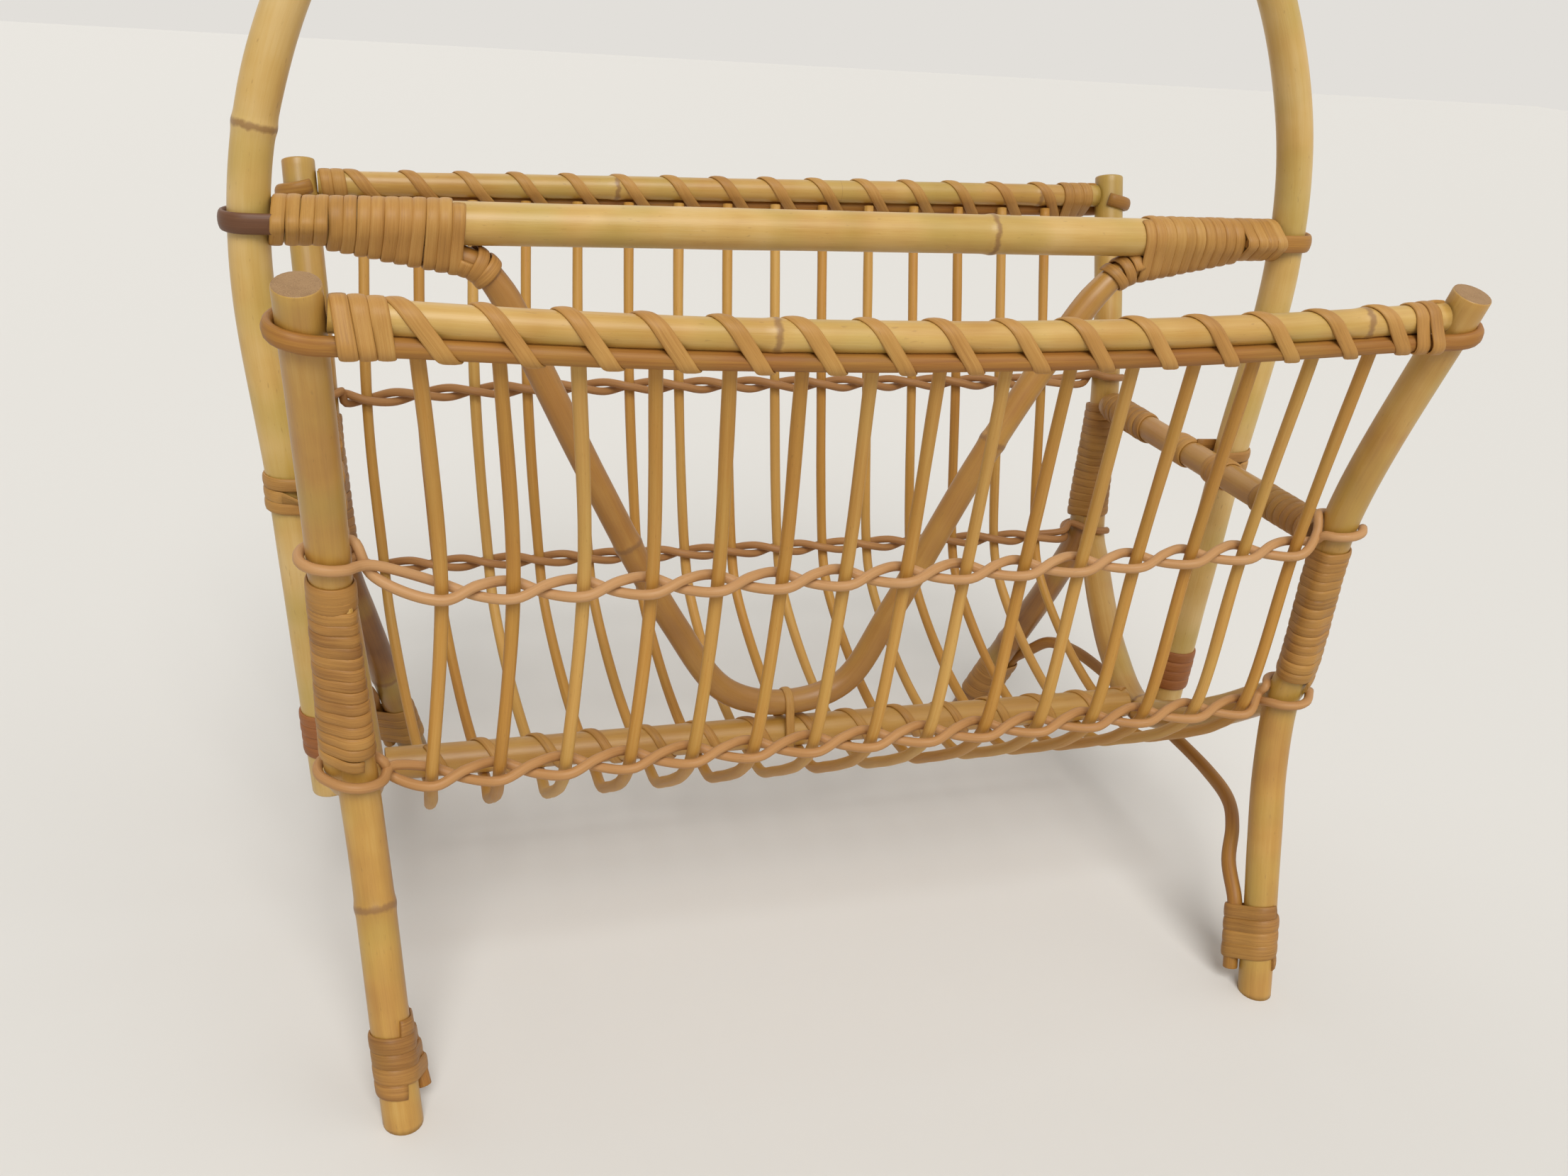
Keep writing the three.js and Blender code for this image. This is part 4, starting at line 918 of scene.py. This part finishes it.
# leg braces: a rod bound to the back leg, arched under the end frame, bound to the front leg

brace = {
    "radius": 3.5, "low": 8, "high": 40, "boundSteps": 5, "outward": {-1: 7, 1: 16},
    "turned": {-1: (0.65, 1.25), 1: (0.6, 0.6)}, "tone": 0.3,
    "shares": [(0.1, 0.11, 0.5), (0.36, 0.2, 0.92), (0.68, 0.34, 1.04), (0.92, 0.58, 1.02)],
}
braceStep = leg["radius"] + 2 * gap + brace["radius"]


def braceBeside(side, wall, height):
    share = (height - brace["low"]) / (brace["high"] - brace["low"])
    turned = mix(*brace["turned"][side], share) if wall < 0 else 0
    return facing(turned, side * wall, -wall) * braceStep


def braceCrown(side):
    height = endFrame["keelHeight"] - endFrame["radius"] - gap - brace["radius"]
    return Vector((side * (endFrame["keelHalfWidth"] + brace["outward"][side]), 0, height))


def braceHalf(side, wall):
    def boundAt(share):
        height = mix(brace["low"], brace["high"], share)
        return atHeight(legs[side, wall], height) + braceBeside(side, wall, height)
    keys = sampled(brace["boundSteps"], boundAt)
    return keys + between(keys[-1], braceCrown(side), brace["shares"])


for side, word in leftRight.items():
    course = smoothCourse(braceHalf(side, -1) + [braceCrown(side)] + braceHalf(side, 1)[::-1])
    bendCane("legBrace", course, brace["radius"], 14, coreCane, "rod_cane", "leg_brace", (word,),
             bevel=0.4, spacing=3, tone=brace["tone"], seed=60 + side, wobble=0.15)
print("crossbars and leg braces made")


# dark canes that pass round the handle and lie along the centre bar

barLoop = {
    "reach": 30, "height": 8.4, "thickness": 3.2, "roundSteps": 8, "boundShare": 0.5, "freeWithin": 15,
    "freeOver": 5, "tones": {-1: 0.5, 1: 0.34},
}
loopSide = centreBar["radius"] + barLoop["thickness"] / 2
loopRound = handle["radius"] + gap + barLoop["thickness"] / 2


def loopShare(share, place):
    # narrower where the winding holds it to the bar
    free = clamp((abs(place.x) - barHandleX + barLoop["freeWithin"]) / barLoop["freeOver"])
    return mix(barLoop["boundShare"], 1, free)


for side, word in leftRight.items():
    def roundHandle(share):
        out = facing(mix(-0.5, 0.5, share) * math.pi, side)
        return Vector((side * barHandleX, 0, centreBar["height"])) + out * loopRound

    def loopPress(place):
        past = max(abs(place.x) - barHandleX, 0)
        return Vector((side * past, place.y, 0)).normalized(), barLoop["thickness"] / barLoop["height"]

    endX = side * (barHandleX - barLoop["reach"])
    ends = [Vector((endX, y, centreBar["height"])) for y in (-loopSide, loopSide)]
    course = smoothCourse([ends[0]] + sampled(barLoop["roundSteps"], roundHandle) + [ends[1]], 80)
    bendCane("barLoop", course, barLoop["height"] / 2, 18, darkCane if side < 0 else coreCane, "dark_cane",
             "bar_loop", (word,), False, spacing=2, tone=barLoop["tones"][side], seed=64 + side, wobble=0.25,
             press=loopPress, taper=loopShare)


# windings of split cane

pastSide = math.pi / 8  # a winding starts a little past the side that it faces

postWrap = {
    "width": 5.3, "topWidth": 5.3, "turns": 14.6, "aboveHem": 12, "belowWaist": 14.5, "legFade": 4,
    "topFrom": 0.9, "topOver": 0.06, "reach": (-4, 4), "tone": 0.42,
    "frontLeft": {"turns": 15.4, "belowWaist": 9.5, "topWidth": 8},
}
for side, wall, where in corners:
    own = dict(postWrap, **postWrap["frontLeft"]) if (side, wall) == (-1, -1) else postWrap

    def postBundle(share):
        height = mix(hemHeight + own["aboveHem"], endFrame["waist"][2] - own["belowWaist"], share)
        lying = clamp((leg["topHeight"] + own["legFade"] - height) / own["legFade"])
        pared = leg["radius"] * legPared(height)
        legPlace = (-side * leg["inward"] * lying, wall * leg["outward"] * lying, pared)
        circles = [(0, 0, endFrame["radius"]), legPlace]
        atTop = clamp((share - own["topFrom"]) / own["topOver"])
        wide = mix(own["width"], own["topWidth"], atTop)
        return *wayAt(lambda z: postAt(side, wall, z), height, own["reach"]), xWay, circles, wide

    windBand("postWrap", postBundle, own, math.pi * wall / 2 + pastSide, side, "post_lashing", where,
             seed=70 + side + 2 * wall, tilt=0.25)

barWrap = {
    "width": 5.7, "turns": 13.4, "inner": 5, "outer": 10, "pastRise": 30, "paredShares": (0.9, 0.45),
    "loopBefore": 6, "loopOver": 8, "loopShare": 0.7, "tone": 0.52,
}
for side, word in leftRight.items():
    def barBundle(share):
        x = mix(dividerHalf + barWrap["inner"], barHandleX - barWrap["outer"], share)
        past = (x - dividerHalf) / divider["reach"]
        # the arm's pared end rises into the bar's side, and the dark loop takes its place
        rise = past * divider["endRise"] + max(past - 1, 0) * barWrap["pastRise"]
        pared = divider["radius"] * mix(*barWrap["paredShares"], min(past, 1))
        circles = [(0, 0, centreBar["radius"]), (0, min(dividerTop - centreBar["height"] + rise, 0), pared)]
        nearing = clamp((x - barHandleX + barLoop["reach"] + barWrap["loopBefore"]) / barWrap["loopOver"])
        circles += [(way * loopSide * nearing, 0, barLoop["thickness"] * barWrap["loopShare"]) for way in (-1, 1)]
        return Vector((side * x, 0, centreBar["height"])), xWay, yWay, circles
    windBand("barWrap", barBundle, barWrap, math.pi / 2 + pastSide, 1, "bar_lashing", (word,), seed=76 + side,
             tilt=0.6)

footWrap = {"width": 7.3, "turns": 4, "low": 14.5, "high": 39, "reach": (0, 8), "tone": 0.4}
for side, wall, where in corners:
    def footBundle(share):
        height = mix(footWrap["low"], footWrap["high"], share)
        rod = braceBeside(side, wall, height)
        circles = [(0, 0, leg["radius"]), (rod.x, rod.y, brace["radius"])]
        return *wayAt(lambda z: atHeight(legs[side, wall], z), height, footWrap["reach"]), xWay, circles
    windBand("footWrap", footBundle, footWrap, math.pi * wall / 2 + pastSide, side, "foot_lashing", where,
             seed=80 + side + 2 * wall, tilt=0.5)

handleWrap = {"width": 6.2, "turns": 4.2, "low": 90.8, "high": 113.5, "reach": (-5, 5), "tone": 0.5}
for side, word in leftRight.items():
    def handleBundle(share):
        height = mix(handleWrap["low"], handleWrap["high"], share)
        circles = [(0, 0, handle["radius"])]
        return *wayAt(lambda z: handleAt(side, z), height, handleWrap["reach"]), xWay, circles
    windBand("handleWrap", handleBundle, handleWrap, math.pi / 2, side, "handle_lashing", (word,), redCane,
             "red_cane", seed=86 + side, tilt=0.5)

jointWrap = {
    "width": 5.7, "turns": 3, "near": 11.8, "far": 25, "climb": 1.5, "passes": ((-6.4, -4.6), (4.2, 6.2)),
    "roundSteps": 12, "passSteps": 16, "leadShare": 0.2, "leadIn": handle["radius"] + crossbar["radius"] - 1,
    "roundLift": 0.4, "passLift": 0.25, "passFade": 0.06, "tone": 0.5,
}
for side, word in leftRight.items():
    def outAt(share):
        return facing(mix(-0.5, 0.5, share) * math.pi, side)

    rings = []
    for wall in (-1, 1):
        def jointBundle(share):
            y = wall * mix(jointWrap["near"], jointWrap["far"], share if wall > 0 else 1 - share)
            place = Vector((side * crossbarX, y, crossbar["height"]))
            return place, yWay * -side, xWay * side, [(0, 0, crossbar["radius"])]
        part = wrapRings(jointBundle, jointWrap, wall * math.pi / 6, 1, seed=90 + side)
        if wall > 0:
            for i in range(1, jointWrap["roundSteps"]):
                share = i / jointWrap["roundSteps"]
                height = crossbar["height"] + mix(-jointWrap["climb"], jointWrap["climb"], share)
                lifted = outAt(share) * (handle["radius"] + jointWrap["roundLift"])
                rings.append({
                    "centre": Vector((side * handleJoint.x, 0, height)) + lifted,
                    "across": zWay, "out": outAt(share), "width": jointWrap["width"] / 2, "height": wrapThickness,
                    "curl": 0, "distance": 120 + 3 * i, "tone": jointWrap["tone"], "joint": noScar,
                })
        rings += part
    # the band keeps one face up where it leaves a turn for the pass round the handle
    for before, after in zip(rings, rings[1:]):
        if after["across"].dot(before["across"]) < 0:
            after["across"] = -after["across"]
    sweepCane("jointWrap", rings, flatSection, splitCane, "joint_lashing", (word,))

    # two more passes of the lashing hold the handle to the crossbar, over and under the first
    for number, (low, high) in enumerate(jointWrap["passes"]):
        def passAt(share):
            lead = jointWrap["leadShare"]
            out = outAt(clamp((share - lead) / (1 - 2 * lead)))
            inward = max(lead - share, share - 1 + lead, 0) / lead * jointWrap["leadIn"]
            centre = Vector((side * (handleJoint.x - inward), 0, crossbar["height"] + mix(low, high, share)))
            return {"centre": centre + out * (handle["radius"] + gap + jointWrap["passLift"] * number), "out": out,
                    "width": jointWrap["width"] / 2, "height": wrapThickness, "along": out, "hollow": 0}
        tone = jointWrap["tone"] - jointWrap["passFade"] * number
        rings = bandRings(sampled(jointWrap["passSteps"], passAt), tone, number * 97)
        sweepCane("jointPass" + "AB"[number], rings, flatSection, splitCane, None, (word,))

# the divider's arms are caught by two slanting turns where they leave the bar's winding
armKnot = {"fromX": 159.5, "toX": 149, "width": 5.6, "turns": 2.3, "step": 2, "tone": 0.48}
armLengths = measured(dividerCourse)
for side, word in leftRight.items():
    ends = [distanceWhere(dividerCourse, lambda place: place.x >= side * armKnot[key]) for key in ("fromX", "toX")]

    def armBundle(share):
        distance = mix(*ends, share)
        here, after = [placeAt(dividerCourse, armLengths, distance + step) for step in (0, armKnot["step"])]
        way = (here - after) * side
        return here, way.normalized(), yWay, [(0, 0, divider["radius"])]

    windBand("armKnot", armBundle, armKnot, math.pi, 1, None, (word,), seed=97 + side, tilt=1.6)

# a turn of this binding passes between each two stakes
baseSpiral = {"width": 4.8, "turns": stakeCount - 1, "tone": 0.5}


def baseBundle(share):
    x = mix(stakeBase(0).x, stakeBase(stakeCount - 1).x, share)
    return Vector((x, 0, baseBar["height"])), xWay, yWay, [(0, 0, baseBar["radius"])]


windBand("baseSpiral", baseBundle, baseSpiral, math.pi / 2, 1, "base_binding", seed=95)

# one turn over that spiral ties the bottom of the divider to the base bar
dividerTie = {"reach": 1, "width": 4.6, "turns": 0.97, "tone": 0.56}


def tieBundle(share):
    x = mix(-dividerTie["reach"], dividerTie["reach"], share)
    bound = (0, 0, baseBar["radius"] + wrapThickness + gap)
    circles = [bound, (dividerFoot - baseBar["height"], 0, divider["radius"])]
    return Vector((x, 0, baseBar["height"])), xWay, zWay, circles


windBand("dividerTie", tieBundle, dividerTie, math.pi, 1, None, seed=99)
print("windings wound")


# floor, light and camera

studio = {
    "floor": "#d8d5cf", "floorSize": 6, "floorRoughness": 0.7, "world": "#f1f0ee", "worldStrength": 0.4,
    "backdrop": "#e2dfda",
}
floorMesh = bmesh.new()
bmesh.ops.create_grid(floorMesh, x_segments=1, y_segments=1, size=studio["floorSize"])
floorFinish, tree, shader = newMaterial("paleStudioFloor")
setNode(tree, shader, {"Base Color": linear(studio["floor"]), "Roughness": studio["floorRoughness"]})
floorPiece = newPiece("floor", floorMesh, floorFinish)

world = bpy.data.worlds.new("studio")
world.use_nodes = True
bpy.context.scene.world = world
tree = world.node_tree
sky = tree.nodes["Background"]
setNode(tree, sky, {"Color": linear(studio["world"]), "Strength": studio["worldStrength"]})
backdrop = addNode(tree, "Background", {"Color": linear(studio["backdrop"]), "Strength": 1.0})
path = addNode(tree, "LightPath").outputs
seen = addNode(tree, "Math", None, {0: path["Is Camera Ray"], 1: path["Is Glossy Ray"]},
               operation="MAXIMUM").outputs[0]
blend = addNode(tree, "MixShader", None, {0: seen, 1: sky.outputs[0], 2: backdrop.outputs[0]})
tree.links.new(blend.outputs[0], tree.nodes["World Output"].inputs["Surface"])

lamps = {  # direction to the lamp, softness in degrees, watts per square metre
    "key": ((-0.12, -0.95, 1.05), 34, 2.45),
    "side": ((1.1, -0.3, 0.9), 60, 0.45),
    "back": ((-0.3, 1.0, 1.0), 60, 0.5),
}
for name, (way, softness, strength) in lamps.items():
    light = bpy.data.lights.new(name, "SUN")
    light.angle = math.radians(softness)
    light.energy = strength
    newObject(name, light).rotation_euler = Vector(way).to_track_quat("Z", "Y").to_euler()

# the photo's camera, fitted to the legs, the posts and the centre bar; place in metres
view = {
    "sensor": 36, "lens": 33.557, "place": (-0.2179, -0.6310, 0.4494), "right": (0.95483, -0.28834, 0.07189),
    "up": (0.05179, 0.39966, 0.91520), "back": (-0.29262, -0.87013, 0.39654),
}
camera = bpy.data.cameras.new("camera")
camera.sensor_width = view["sensor"]
camera.lens = view["lens"]
eye = newObject("camera", camera)
turned = Matrix((view["right"], view["up"], view["back"])).transposed().to_4x4()
eye.matrix_world = Matrix.Translation(view["place"]) @ turned
bpy.context.scene.camera = eye
bpy.context.scene.view_settings.view_transform = "Standard"
print("studio set")
